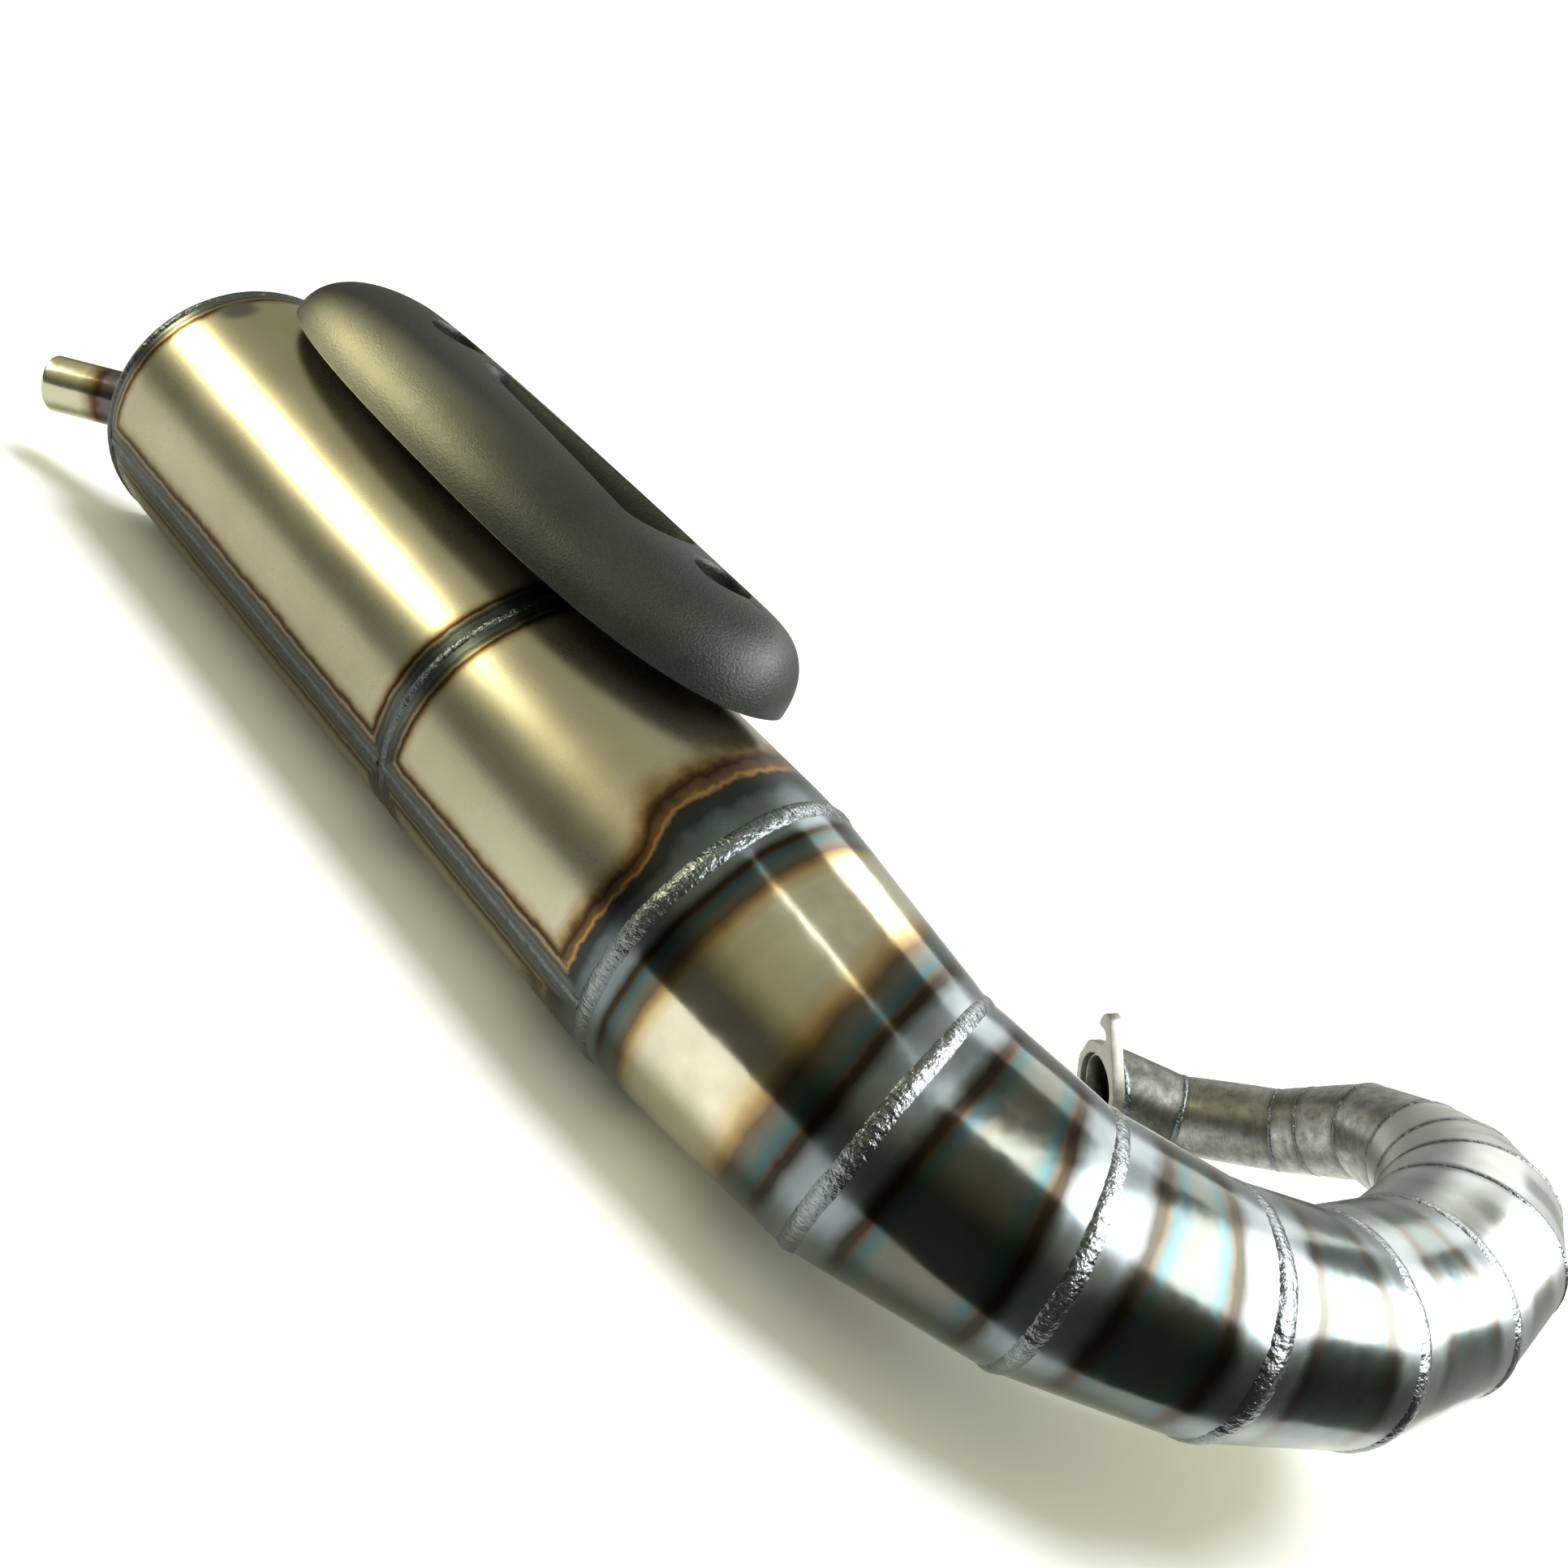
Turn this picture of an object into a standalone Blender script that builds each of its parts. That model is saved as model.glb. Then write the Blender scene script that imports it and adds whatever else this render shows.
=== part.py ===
"""Two-stroke racing exhaust: silencer barrel, cone-segment header, inlet flange and heat guard.

Every piece is drawn in the barrel's own frame, in metres: +X along the barrel towards the header, +Z up,
and the origin on the barrel's axis at its front weld. One parent empty, the datum, then moves the whole
exhaust so that it lies on the ground plane, centred on the origin.
"""

import math

import bmesh
import bpy
from mathutils import Matrix, Vector

MM = 0.001
GAP = 0.3 * MM  # air between two pieces that touch
X_AXIS = Vector((1, 0, 0))
Y_AXIS = Vector((0, 1, 0))
Z_AXIS = Vector((0, 0, 1))

# The barrel's front weld, seen from the middle of the exhaust's footprint
DATUM = Vector((44.414, -89.072, 48.900)) * MM

# Barrel
BARREL_RADIUS = 48.0 * MM
BARREL_LENGTH = 270.5 * MM
FRONT_SHELL_LENGTH = 96.0 * MM
SHEET = 1.2 * MM
SEAM_ANGLE = math.radians(27)  # the lengthwise seam, below the barrel's -Y side
SEAM_HALF_WIDTH = 1.6 * MM
SEAM_HEIGHT = 0.8 * MM
CAP_DOME = 5.0 * MM
BARREL_SIDES = 40

# Header: each cone's length, heading and climb in degrees, and the radius at its far end
HEADER = (
    (67 * MM, 2, -1, 40.5 * MM),
    (48 * MM, 18, 5, 35.5 * MM),
    (43 * MM, 30, 11, 32.0 * MM),
    (45 * MM, 54, 8, 30.0 * MM),
    (45 * MM, 69, 16, 28.5 * MM),
    (27 * MM, 85, 30, 27.5 * MM),
    (18 * MM, 101, 15, 26.0 * MM),
    (17 * MM, 116, 2, 23.0 * MM),
    (18 * MM, 123, -9, 19.5 * MM),
    (26 * MM, 129, -22, 17.0 * MM),
    (21 * MM, 141, -45, 16.0 * MM),
    (14 * MM, 159, -47, 15.2 * MM),
    (38 * MM, 186, -37, 15.0 * MM),
    (28 * MM, 210, -12, 15.0 * MM),
)
HEADER_SIDES = 20

# Weld beads sit in the slot between two cut ends
WELD_SLOT = 1.6 * MM  # from the joint's middle to each cut end
WELD_CROWN = 0.9 * MM

# Inlet flange, drawn on its own face: +U to the outside of the bend, +V to the upper ear
FLANGE_HEADING = 230
FLANGE_CLIMB = -30
FLANGE_ROLL = math.radians(28)
FLANGE_THICKNESS = 5.0 * MM
FLANGE_BORE = 12.8 * MM
STUD = Vector((6.5, 20.6)) * MM
STUD_SLOT = 3.3 * MM
SPIGOT_RADIUS = 12.5 * MM
SPIGOT_LENGTH = 6.0 * MM
SPIGOT_RECESS = 2.0 * MM

# Tail pipe
TAIL_ROOT = Vector((-272, -25, -6.5)) * MM
TAIL_HEADING = 214
TAIL_CLIMB = -21
TAIL_RADIUS = 9.5 * MM
TAIL_WALL = 1.0 * MM
TAIL_LENGTH = 41.5 * MM
TAIL_INSIDE = 10.0 * MM  # how far it reaches in past the end cap
TAIL_SIDES = 24

# Heat guard
GUARD_CENTRE = -143.0 * MM
GUARD_HALF_LENGTH = 114.0 * MM
GUARD_HALF_WIDTH = 39.0 * MM
GUARD_RIM = 50.0 * MM  # height of the rim above the barrel's axis
GUARD_CREST = 26.0 * MM  # height of the crest above the rim
GUARD_WALL = 3.0 * MM
GUARD_PLAN_POWER = 2.5
GUARD_DOME_POWER = 2.2
GUARD_TAPER_REAR = 50.0 * MM  # how far the rear end leans in by the crest
GUARD_TAPER_FRONT = 22.0 * MM
GUARD_NOSE_LIFT = 4.0 * MM  # how far the front of the rim curls up
GUARD_SIDES = 40
TROUGH_REAR = -182.0 * MM
TROUGH_FRONT = -84.0 * MM
TROUGH_HALF_WIDTHS = (6.0 * MM, 14.0 * MM)  # rear, front
TROUGH_FLOORS = (71.5 * MM, 65.0 * MM)  # rear, front
SCREW_STATIONS = {"front": -66.0 * MM, "rear": -200.0 * MM}
WELL_RADIUS = 10.5 * MM
SEAT_TOP = 60.0 * MM
CLEARANCE_HOLE = 3.4 * MM

# Guard fixings, M6
SCREW_SHANK = 2.9 * MM
SCREW_HEAD = Vector((5.2, 3.4)) * MM  # radius and height
HEX_SOCKET = Vector((2.3, 1.8)) * MM  # radius and depth
WASHER = Vector((8.0, 1.2)) * MM
SPACER_RADIUS = 6.0 * MM
BOSS_RADIUS = 7.5 * MM
BOSS_HEIGHT = 3.4 * MM

# Hanger plate, on the side away from the guard's open edge
HANGER_CENTRE = -55.0 * MM
HANGER_WIDTH = 42.0 * MM
HANGER_REACH = 30.0 * MM
HANGER_THICKNESS = 4.0 * MM
HANGER_HEIGHT = -10.0 * MM
HANGER_HOLE = 4.3 * MM

# Inside the barrel
CONE_START = -101.0 * MM
CONE_END = -200.0 * MM
STINGER_RADIUS = 11.0 * MM
STINGER_END = -256.0 * MM
BULKHEAD = -238.0 * MM
BULKHEAD_HOLE = 5.0 * MM
BULKHEAD_HOLES = 6

COLOURS = {
    "barrel steel": ((0.62, 0.59, 0.48), 0.32, 1.0),
    "header steel": ((0.34, 0.36, 0.36), 0.22, 1.0),
    "return pipe steel": ((0.30, 0.29, 0.27), 0.42, 1.0),
    "weld bead": ((0.42, 0.45, 0.47), 0.28, 1.0),
    "flange steel": ((0.50, 0.49, 0.45), 0.50, 1.0),
    "guard coating": ((0.085, 0.088, 0.080), 0.45, 0.3),
    "tail steel": ((0.60, 0.57, 0.50), 0.20, 1.0),
    "fastener steel": ((0.20, 0.20, 0.20), 0.40, 1.0),
    "inner steel": ((0.20, 0.18, 0.16), 0.60, 1.0),
}


def clear_scene():
    for old in list(bpy.data.objects):
        bpy.data.objects.remove(old, do_unlink=True)


def material(name):
    found = bpy.data.materials.get(name)
    if found:
        return found
    colour, roughness, metallic = COLOURS[name]
    made = bpy.data.materials.new(name)
    made.use_nodes = True
    shader = made.node_tree.nodes["Principled BSDF"]
    shader.inputs["Base Color"].default_value = (*colour, 1)
    shader.inputs["Roughness"].default_value = roughness
    shader.inputs["Metallic"].default_value = metallic
    made.diffuse_color = (*colour, 1)
    return made


def finish(name, bm, datum, colour=None, smooth=True):
    """Turns a bmesh into an object under the datum. With no colour it is a hidden cutter."""
    bmesh.ops.recalc_face_normals(bm, faces=bm.faces)
    mesh = bpy.data.meshes.new(name)
    bm.to_mesh(mesh)
    bm.free()
    made = bpy.data.objects.new(name, mesh)
    bpy.context.scene.collection.objects.link(made)
    made.parent = datum
    if colour is None:
        made.hide_render = True
        made.display_type = "WIRE"
        return made
    mesh.materials.append(material(colour))
    if smooth:
        mesh.shade_smooth()
        mesh.set_sharp_from_angle(angle=math.radians(35))
    return made


def boolean(target, cutter, operation="DIFFERENCE"):
    step = target.modifiers.new(cutter.name, "BOOLEAN")
    step.operation = operation
    step.object = cutter
    step.solver = "EXACT"


def loft(loops, ends="ring"):
    """Skins a list of equal loops of points. ends is ring (last joins first) or caps (both filled)."""
    bm = bmesh.new()
    rows = [[bm.verts.new(point) for point in loop] for loop in loops]
    pairs = list(zip(rows, rows[1:]))
    if ends == "ring":
        pairs.append((rows[-1], rows[0]))
    for near, far in pairs:
        for i in range(len(near)):
            j = (i + 1) % len(near)
            bm.faces.new((near[i], near[j], far[j], far[i]))
    if ends == "caps":
        bm.faces.new(reversed(rows[0]))
        bm.faces.new(rows[-1])
    return bm


def direction(heading, climb):
    """The unit vector at a heading from +X towards +Y, and a climb towards +Z, in degrees."""
    level = math.cos(math.radians(climb))
    return Vector(
        (
            level * math.cos(math.radians(heading)),
            level * math.sin(math.radians(heading)),
            math.sin(math.radians(climb)),
        )
    )


def circle(centre, axis, start, radius, sides):
    """Points of a circle about an axis, the first one towards start."""
    across = axis.cross(start)
    angles = [2 * math.pi * i / sides for i in range(sides)]
    return [centre + radius * (math.cos(a) * start + math.sin(a) * across) for a in angles]


def turned(profile, origin, axis, start, sides):
    """A closed ring turned about an axis from (along, radius) points."""
    return loft([circle(origin + along * axis, axis, start, radius, sides) for along, radius in profile])


def rod(origin, axis, start, profile, sides):
    """A solid turned about an axis from (along, radius) points, filled at both ends."""
    loops = [circle(origin + along * axis, axis, start, radius, sides) for along, radius in profile]
    return loft(loops, ends="caps")


def tube_profile(low, high, outer, inner):
    return ((low, outer), (high, outer), (high, inner), (low, inner))


class Joint:
    """A welded joint of the header: its middle, its cut plane and its elliptic section."""

    def __init__(self, centre, before, after, normal, radius, start):
        self.centre = centre
        self.normal = normal
        self.radius = radius
        turn = before.cross(after)
        self.across = turn.normalized() if turn.length > 1e-6 else start.cross(normal).normalized()
        self.stretch = 1 / max(before.dot(normal), 0.5)
        self.start = (start - start.dot(normal) * normal).normalized()

    def loop(self, radius, sides, shift=Vector()):
        """The section's points at a given pipe radius, moved by shift."""
        along = self.normal.cross(self.across)
        points = []
        for spoke in circle(Vector(), self.normal, self.start, 1.0, sides):
            wide = spoke.dot(along) * self.stretch
            points.append(self.centre + shift + radius * (spoke.dot(self.across) * self.across + wide * along))
        return points


def header_joints():
    """The 15 joints of the header, from the barrel's front weld to the flange, and the cone directions."""
    courses = [direction(heading, climb) for _, heading, climb, _ in HEADER]
    face = direction(FLANGE_HEADING, FLANGE_CLIMB)
    start = Z_AXIS
    centre = Vector()
    radius = BARREL_RADIUS
    before = X_AXIS
    joints = []
    for course, (length, _, _, end_radius) in zip(courses, HEADER):
        normal = (before + course).normalized() if joints else X_AXIS
        joint = Joint(centre, before, course, normal, radius, start)
        joints.append(joint)
        start = joint.start
        centre = centre + length * course
        radius = end_radius
        before = course
    joints.append(Joint(centre, before, face, face, radius, start))
    return joints, courses


def make_header(datum):
    joints, courses = header_joints()
    for i, course in enumerate(courses):
        near, far = joints[i], joints[i + 1]
        enter = WELD_SLOT * course
        loops = (
            near.loop(near.radius, HEADER_SIDES, enter),
            far.loop(far.radius, HEADER_SIDES, -enter),
            far.loop(far.radius - SHEET, HEADER_SIDES, -enter),
            near.loop(near.radius - SHEET, HEADER_SIDES, enter),
        )
        colour = "header steel" if i < 8 else "return pipe steel"
        finish(f"header_cone_{i + 1}", loft(loops), datum, colour)
    for i, joint in enumerate(joints):
        finish(f"weld_{i}", weld_ring(joint, HEADER_SIDES), datum, "weld bead")
    return joints


def weld_ring(joint, sides):
    half = WELD_SLOT / joint.stretch - GAP
    low, high = -half * joint.normal, half * joint.normal
    inner, outer = joint.radius - SHEET, joint.radius + WELD_CROWN
    loops = (
        joint.loop(inner, sides, low),
        joint.loop(outer, sides, low),
        joint.loop(outer, sides, high),
        joint.loop(inner, sides, high),
    )
    return loft(loops)


def make_barrel(datum):
    """Two rolled shells with a weld between them, and a bead along each one's seam."""
    split = -FRONT_SHELL_LENGTH
    spans = {
        "rear": (-BARREL_LENGTH + WELD_SLOT, split - WELD_SLOT),
        "front": (split + WELD_SLOT, -WELD_SLOT),
    }
    for side, (low, high) in spans.items():
        profile = tube_profile(low, high, BARREL_RADIUS, BARREL_RADIUS - SHEET)
        shell = turned(profile, Vector(), X_AXIS, Z_AXIS, BARREL_SIDES)
        finish(f"{side}_barrel_shell", shell, datum, "barrel steel")
        seam = seam_bead(low + 2 * MM, high - 2 * MM)
        finish(f"{side}_seam_weld", seam, datum, "weld bead")
    for name, place in (("mid_weld", split), ("end_cap_weld", -BARREL_LENGTH)):
        half = WELD_SLOT - GAP
        outer, inner = BARREL_RADIUS + WELD_CROWN / 2, BARREL_RADIUS - SHEET
        profile = tube_profile(place - half, place + half, outer, inner)
        ring = turned(profile, Vector(), X_AXIS, Z_AXIS, BARREL_SIDES)
        finish(name, ring, datum, "weld bead")


def seam_bead(low, high):
    """A low bead with a rounded crown along the barrel's outside."""
    out = Vector((0, -math.cos(SEAM_ANGLE), -math.sin(SEAM_ANGLE)))
    side = out.cross(X_AXIS)
    foot = BARREL_RADIUS + GAP
    section = (
        (-SEAM_HALF_WIDTH, foot),
        (-0.6 * SEAM_HALF_WIDTH, foot + SEAM_HEIGHT),
        (0.6 * SEAM_HALF_WIDTH, foot + SEAM_HEIGHT),
        (SEAM_HALF_WIDTH, foot),
    )
    loops = [[x * X_AXIS + a * side + r * out for a, r in section] for x in (low, high)]
    return loft(loops, ends="caps")


def make_end_cap(datum):
    """A dished cap with a slanted hole for the tail pipe."""
    face = -BARREL_LENGTH - WELD_SLOT
    rim = BARREL_RADIUS - 0.5 * MM
    steps = 5
    outside = []
    for i in range(steps):
        turn = math.radians(90) * i / steps
        outside.append((face - CAP_DOME * math.sin(turn), rim * (0.78 + 0.22 * math.cos(turn))))
    outside.append((face - 1.05 * CAP_DOME, 0.5 * rim))
    outside.append((face - 1.1 * CAP_DOME, 0.02 * rim))
    inside = [(x + SHEET * 1.4, r - (SHEET if i < 3 else 0)) for i, (x, r) in enumerate(outside)]
    inside[0] = (face, rim - SHEET * 1.4)
    inside[1] = (outside[1][0], outside[1][1] - SHEET * 1.4)
    profile = outside + inside[::-1]
    cap = finish(
        "rear_end_cap", turned(profile, Vector(), X_AXIS, Z_AXIS, BARREL_SIDES), datum, "barrel steel"
    )
    plug = rod(
        Vector(), X_AXIS, Z_AXIS, ((outside[-1][0], 0.1 * rim), (inside[-1][0], 0.1 * rim)), 12
    )
    boolean(cap, finish("cap_centre_fill", plug, datum), "UNION")
    course = direction(TAIL_HEADING, TAIL_CLIMB)
    reach = 40 * MM
    hole = rod(
        TAIL_ROOT, course, Z_AXIS.cross(course).normalized(),
        ((-reach, TAIL_RADIUS + GAP), (reach, TAIL_RADIUS + GAP)), TAIL_SIDES,
    )
    boolean(cap, finish("tail_hole", hole, datum))


def make_tail_pipe(datum):
    course = direction(TAIL_HEADING, TAIL_CLIMB)
    start = Z_AXIS.cross(course).normalized()
    profile = tube_profile(
        -TAIL_INSIDE, TAIL_LENGTH, TAIL_RADIUS, TAIL_RADIUS - TAIL_WALL
    )
    finish("tail_pipe", turned(profile, TAIL_ROOT, course, start, TAIL_SIDES), datum, "tail steel")
    slant = Joint(TAIL_ROOT, course, -X_AXIS, -X_AXIS, TAIL_RADIUS, start)
    face = -BARREL_LENGTH - WELD_SLOT - 1.12 * CAP_DOME
    climb = (face - GAP - TAIL_ROOT.x) / course.x
    foot = climb * course
    crown = 2.2 * MM
    top = foot - crown * X_AXIS
    loops = (
        slant.loop(TAIL_RADIUS + GAP, TAIL_SIDES, foot),
        slant.loop(TAIL_RADIUS + crown, TAIL_SIDES, foot),
        slant.loop(TAIL_RADIUS + 0.6 * crown, TAIL_SIDES, 0.5 * (foot + top) + 0.3 * crown * course),
        slant.loop(TAIL_RADIUS + GAP, TAIL_SIDES, top - (top.x - foot.x) * X_AXIS + crown * course),
    )
    finish("tail_weld", loft(loops), datum, "weld bead")


def flange_outline():
    """The laser-cut outline on the flange's face. The lower half is the upper one turned half round."""
    slot = [
        STUD + STUD_SLOT * Vector((math.sin(turn), math.cos(turn)))
        for turn in [math.pi * i / 6 for i in range(7)]
    ]
    upper = [
        Vector((16.4, 0.0)) * MM,
        Vector((15.2, 12.0)) * MM,
        Vector((13.8, 26.0)) * MM,
        Vector((12.8, 28.6)) * MM,
        Vector((10.6, 29.8)) * MM,
        Vector((8.0, 29.0)) * MM,
        Vector((5.6, 26.8)) * MM,
        Vector((4.6, 24.4)) * MM,
        *slot,
        Vector((-5.0, 17.3)) * MM,
        Vector((-12.6, 10.6)) * MM,
    ]
    return upper + [-point for point in upper]


def flange_frame(joint):
    """Object matrix of the flange's back face: U, V and outward axes as columns."""
    out = direction(FLANGE_HEADING, FLANGE_CLIMB)
    level_up = (Z_AXIS - Z_AXIS.dot(out) * out).normalized()
    ear = math.cos(FLANGE_ROLL) * level_up + math.sin(FLANGE_ROLL) * out.cross(level_up)
    side = ear.cross(out)
    turn = Matrix((side, ear, out)).transposed().to_4x4()
    return Matrix.Translation(joint.centre + WELD_SLOT * out) @ turn


def make_flange(datum, joint):
    place = flange_frame(joint)
    outline = flange_outline()
    loops = [[Vector((*point, height)) for point in outline] for height in (0, FLANGE_THICKNESS)]
    flange = finish("inlet_flange", loft(loops, ends="caps"), datum, "flange steel", smooth=False)
    bore = rod(
        Vector(), Z_AXIS, X_AXIS,
        ((-5 * MM, FLANGE_BORE), (FLANGE_THICKNESS + 5 * MM, FLANGE_BORE)), 28,
    )
    cutter = finish("flange_bore", bore, datum)
    flange.matrix_local = place
    cutter.matrix_local = place
    boolean(flange, cutter)
    high = FLANGE_THICKNESS - SPIGOT_RECESS
    profile = tube_profile(high - SPIGOT_LENGTH, high, SPIGOT_RADIUS, SPIGOT_RADIUS - SHEET)
    spigot = finish(
        "inlet_spigot", turned(profile, Vector(), Z_AXIS, X_AXIS, 28), datum, "return pipe steel"
    )
    spigot.matrix_local = place


def guard_loop(inset, share, height):
    """The guard's plan outline, drawn in by a wall's depth and then by its share of the way to the crest."""
    taper = (GUARD_TAPER_FRONT + GUARD_TAPER_REAR) / 2
    centre = GUARD_CENTRE + share * (GUARD_TAPER_REAR - GUARD_TAPER_FRONT) / 2
    half_length = GUARD_HALF_LENGTH - inset - share * taper
    half_width = (GUARD_HALF_WIDTH - inset) * (1 - share)
    power = 2 / GUARD_PLAN_POWER
    points = []
    for i in range(GUARD_SIDES):
        turn = 2 * math.pi * (i + 0.5) / GUARD_SIDES
        along = math.copysign(abs(math.cos(turn)) ** power, math.cos(turn))
        across = math.copysign(abs(math.sin(turn)) ** power, math.sin(turn))
        lift = GUARD_NOSE_LIFT * max(0, along) ** 4 * (1 - share)
        points.append(Vector((centre + half_length * along, half_width * across, height + lift)))
    return points


def guard_dome(wall, skirt):
    """The guard's domed outside, or its inside at a wall's depth, with a skirt below the rim."""
    steps = 6
    crest = GUARD_CREST - wall
    loops = []
    if skirt:
        loops.append(guard_loop(wall, 0, GUARD_RIM - skirt))
    for i in range(steps):
        share = 0.92 * math.sin(math.radians(90) * i / steps) ** 2
        rise = (1 - (1 - share) ** GUARD_DOME_POWER) ** (1 / GUARD_DOME_POWER)
        loops.append(guard_loop(wall, share, GUARD_RIM + crest * rise))
    return loft(loops, ends="caps")


def scoop(inflate, ceiling):
    """An upright plug with round ends, wider and deeper at the front, swollen by a wall's depth."""
    steps = 7
    outline = []
    ends = ((TROUGH_FRONT, TROUGH_HALF_WIDTHS[1], 1), (TROUGH_REAR, TROUGH_HALF_WIDTHS[0], -1))
    for end, half_width, side in ends:
        centre = end - side * half_width
        radius = half_width + inflate
        for i in range(steps + 1):
            turn = math.pi * (i / steps - 0.5)
            outline.append((centre + side * radius * math.cos(turn), side * radius * math.sin(turn)))
    slope = (TROUGH_FLOORS[1] - TROUGH_FLOORS[0]) / (TROUGH_FRONT - TROUGH_REAR)
    floor = [Vector((x, y, TROUGH_FLOORS[0] - inflate + slope * (x - TROUGH_REAR))) for x, y in outline]
    return loft((floor, [Vector((x, y, ceiling)) for x, y in outline]), ends="caps")


def make_guard(datum):
    """A domed shell with a long recess between two screw wells, each open at the top."""
    guard = finish("heat_guard", guard_dome(0, 0), datum, "guard coating")
    hollow = finish("guard_hollow", guard_dome(GUARD_WALL, 10 * MM), datum)
    ceiling = GUARD_RIM + GUARD_CREST + 20 * MM
    boolean(hollow, finish("trough_pan", scoop(GUARD_WALL, ceiling), datum))
    cutters = [finish("trough", scoop(0, ceiling + 5 * MM), datum)]
    for side, station in SCREW_STATIONS.items():
        foot = Vector((station, 0, 0))
        post_radius = WELL_RADIUS + GUARD_WALL
        post = rod(
            foot, Z_AXIS, X_AXIS, ((SEAT_TOP - GUARD_WALL, post_radius), (ceiling, post_radius)), 20
        )
        boolean(hollow, finish(f"well_post_{side}", post, datum))
        well = rod(foot, Z_AXIS, X_AXIS, ((SEAT_TOP, WELL_RADIUS), (ceiling, WELL_RADIUS)), 20)
        cutters.append(finish(f"well_{side}", well, datum))
        drill = rod(
            foot, Z_AXIS, X_AXIS, ((GUARD_RIM, CLEARANCE_HOLE), (SEAT_TOP + 5 * MM, CLEARANCE_HOLE)), 16
        )
        cutters.append(finish(f"screw_hole_{side}", drill, datum))
    for cutter in [*cutters, hollow]:
        boolean(guard, cutter)


def make_fixings(datum):
    """At each station, from the barrel up: boss, spacer, the guard's seat, washer and screw."""
    seat_low = SEAT_TOP - GUARD_WALL
    boss_low = BARREL_RADIUS + GAP
    boss_high = boss_low + BOSS_HEIGHT
    washer_low = SEAT_TOP + GAP
    head_low = washer_low + WASHER.y + GAP
    head_high = head_low + SCREW_HEAD.y
    for side, station in SCREW_STATIONS.items():
        foot = Vector((station, 0, 0))
        boss = tube_profile(boss_low, boss_high, BOSS_RADIUS, CLEARANCE_HOLE)
        finish(f"guard_boss_{side}", turned(boss, foot, Z_AXIS, X_AXIS, 16), datum, "fastener steel")
        spacer = tube_profile(boss_high + GAP, seat_low - GAP, SPACER_RADIUS, CLEARANCE_HOLE)
        finish(f"guard_spacer_{side}", turned(spacer, foot, Z_AXIS, X_AXIS, 16), datum, "fastener steel")
        washer = tube_profile(washer_low, washer_low + WASHER.y, WASHER.x, CLEARANCE_HOLE)
        finish(f"guard_washer_{side}", turned(washer, foot, Z_AXIS, X_AXIS, 16), datum, "fastener steel")
        screw = finish(
            f"guard_screw_{side}",
            rod(
                foot, Z_AXIS, X_AXIS,
                (
                    (boss_low + GAP, SCREW_SHANK),
                    (head_low, SCREW_SHANK),
                    (head_low, SCREW_HEAD.x),
                    (head_low + 0.6 * SCREW_HEAD.y, SCREW_HEAD.x),
                    (head_high, 0.7 * SCREW_HEAD.x),
                ),
                16,
            ),
            datum, "fastener steel",
        )
        socket = rod(
            foot, Z_AXIS, X_AXIS,
            ((head_high - HEX_SOCKET.y, HEX_SOCKET.x), (head_high + 2 * MM, HEX_SOCKET.x)), 6,
        )
        boolean(screw, finish(f"hex_socket_{side}", socket, datum))


def make_hanger(datum):
    """A flat plate welded edge-on to the barrel, with rounded outer corners and one bolt hole."""
    root = BARREL_RADIUS + GAP
    tip = BARREL_RADIUS + HANGER_REACH
    half = HANGER_WIDTH / 2
    corner = 10 * MM
    outline = [(HANGER_CENTRE - half, 0), (HANGER_CENTRE + half, 0)]
    for side in (1, -1):
        for i in range(5):
            turn = math.radians(90) * (i if side > 0 else 4 - i) / 4
            x = HANGER_CENTRE + side * (half - corner + corner * math.cos(turn))
            outline.append((x, tip - root - corner + corner * math.sin(turn)))
    low = HANGER_HEIGHT - HANGER_THICKNESS / 2
    loops = [[Vector((x, root + y, z)) for x, y in outline] for z in (low, low + HANGER_THICKNESS)]
    plate = finish("hanger_bracket", loft(loops, ends="caps"), datum, "flange steel", smooth=False)
    hole = rod(
        Vector((HANGER_CENTRE, tip - 13 * MM, HANGER_HEIGHT)), Z_AXIS, X_AXIS,
        ((-5 * MM, HANGER_HOLE), (5 * MM, HANGER_HOLE)), 20,
    )
    boolean(plate, finish("hanger_hole", hole, datum))


def make_internals(datum):
    """The reverse cone, the stinger that leaves it and the bulkhead that holds the stinger."""
    wall = BARREL_RADIUS - SHEET - 2 * GAP
    throat = STINGER_RADIUS + GAP + SHEET
    cone = ((CONE_START, wall), (CONE_START, wall - SHEET), (CONE_END, throat - SHEET), (CONE_END, throat))
    finish("reverse_cone", turned(cone, Vector(), X_AXIS, Z_AXIS, 32), datum, "inner steel")
    stinger = tube_profile(STINGER_END, CONE_END + 5 * MM, STINGER_RADIUS, STINGER_RADIUS - SHEET)
    finish("stinger_tube", turned(stinger, Vector(), X_AXIS, Z_AXIS, 20), datum, "inner steel")
    disc = tube_profile(BULKHEAD - SHEET, BULKHEAD, wall, STINGER_RADIUS + GAP)
    bulkhead = finish("rear_bulkhead", turned(disc, Vector(), X_AXIS, Z_AXIS, 32), datum, "inner steel")
    for i in range(BULKHEAD_HOLES):
        turn = 2 * math.pi * (i + 0.3) / BULKHEAD_HOLES
        centre = 0.6 * wall * (math.cos(turn) * Y_AXIS + math.sin(turn) * Z_AXIS)
        hole = rod(
            centre + BULKHEAD * X_AXIS, X_AXIS, Z_AXIS,
            ((-5 * MM, BULKHEAD_HOLE), (5 * MM, BULKHEAD_HOLE)), 12,
        )
        boolean(bulkhead, finish(f"bulkhead_hole_{i + 1}", hole, datum))


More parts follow.
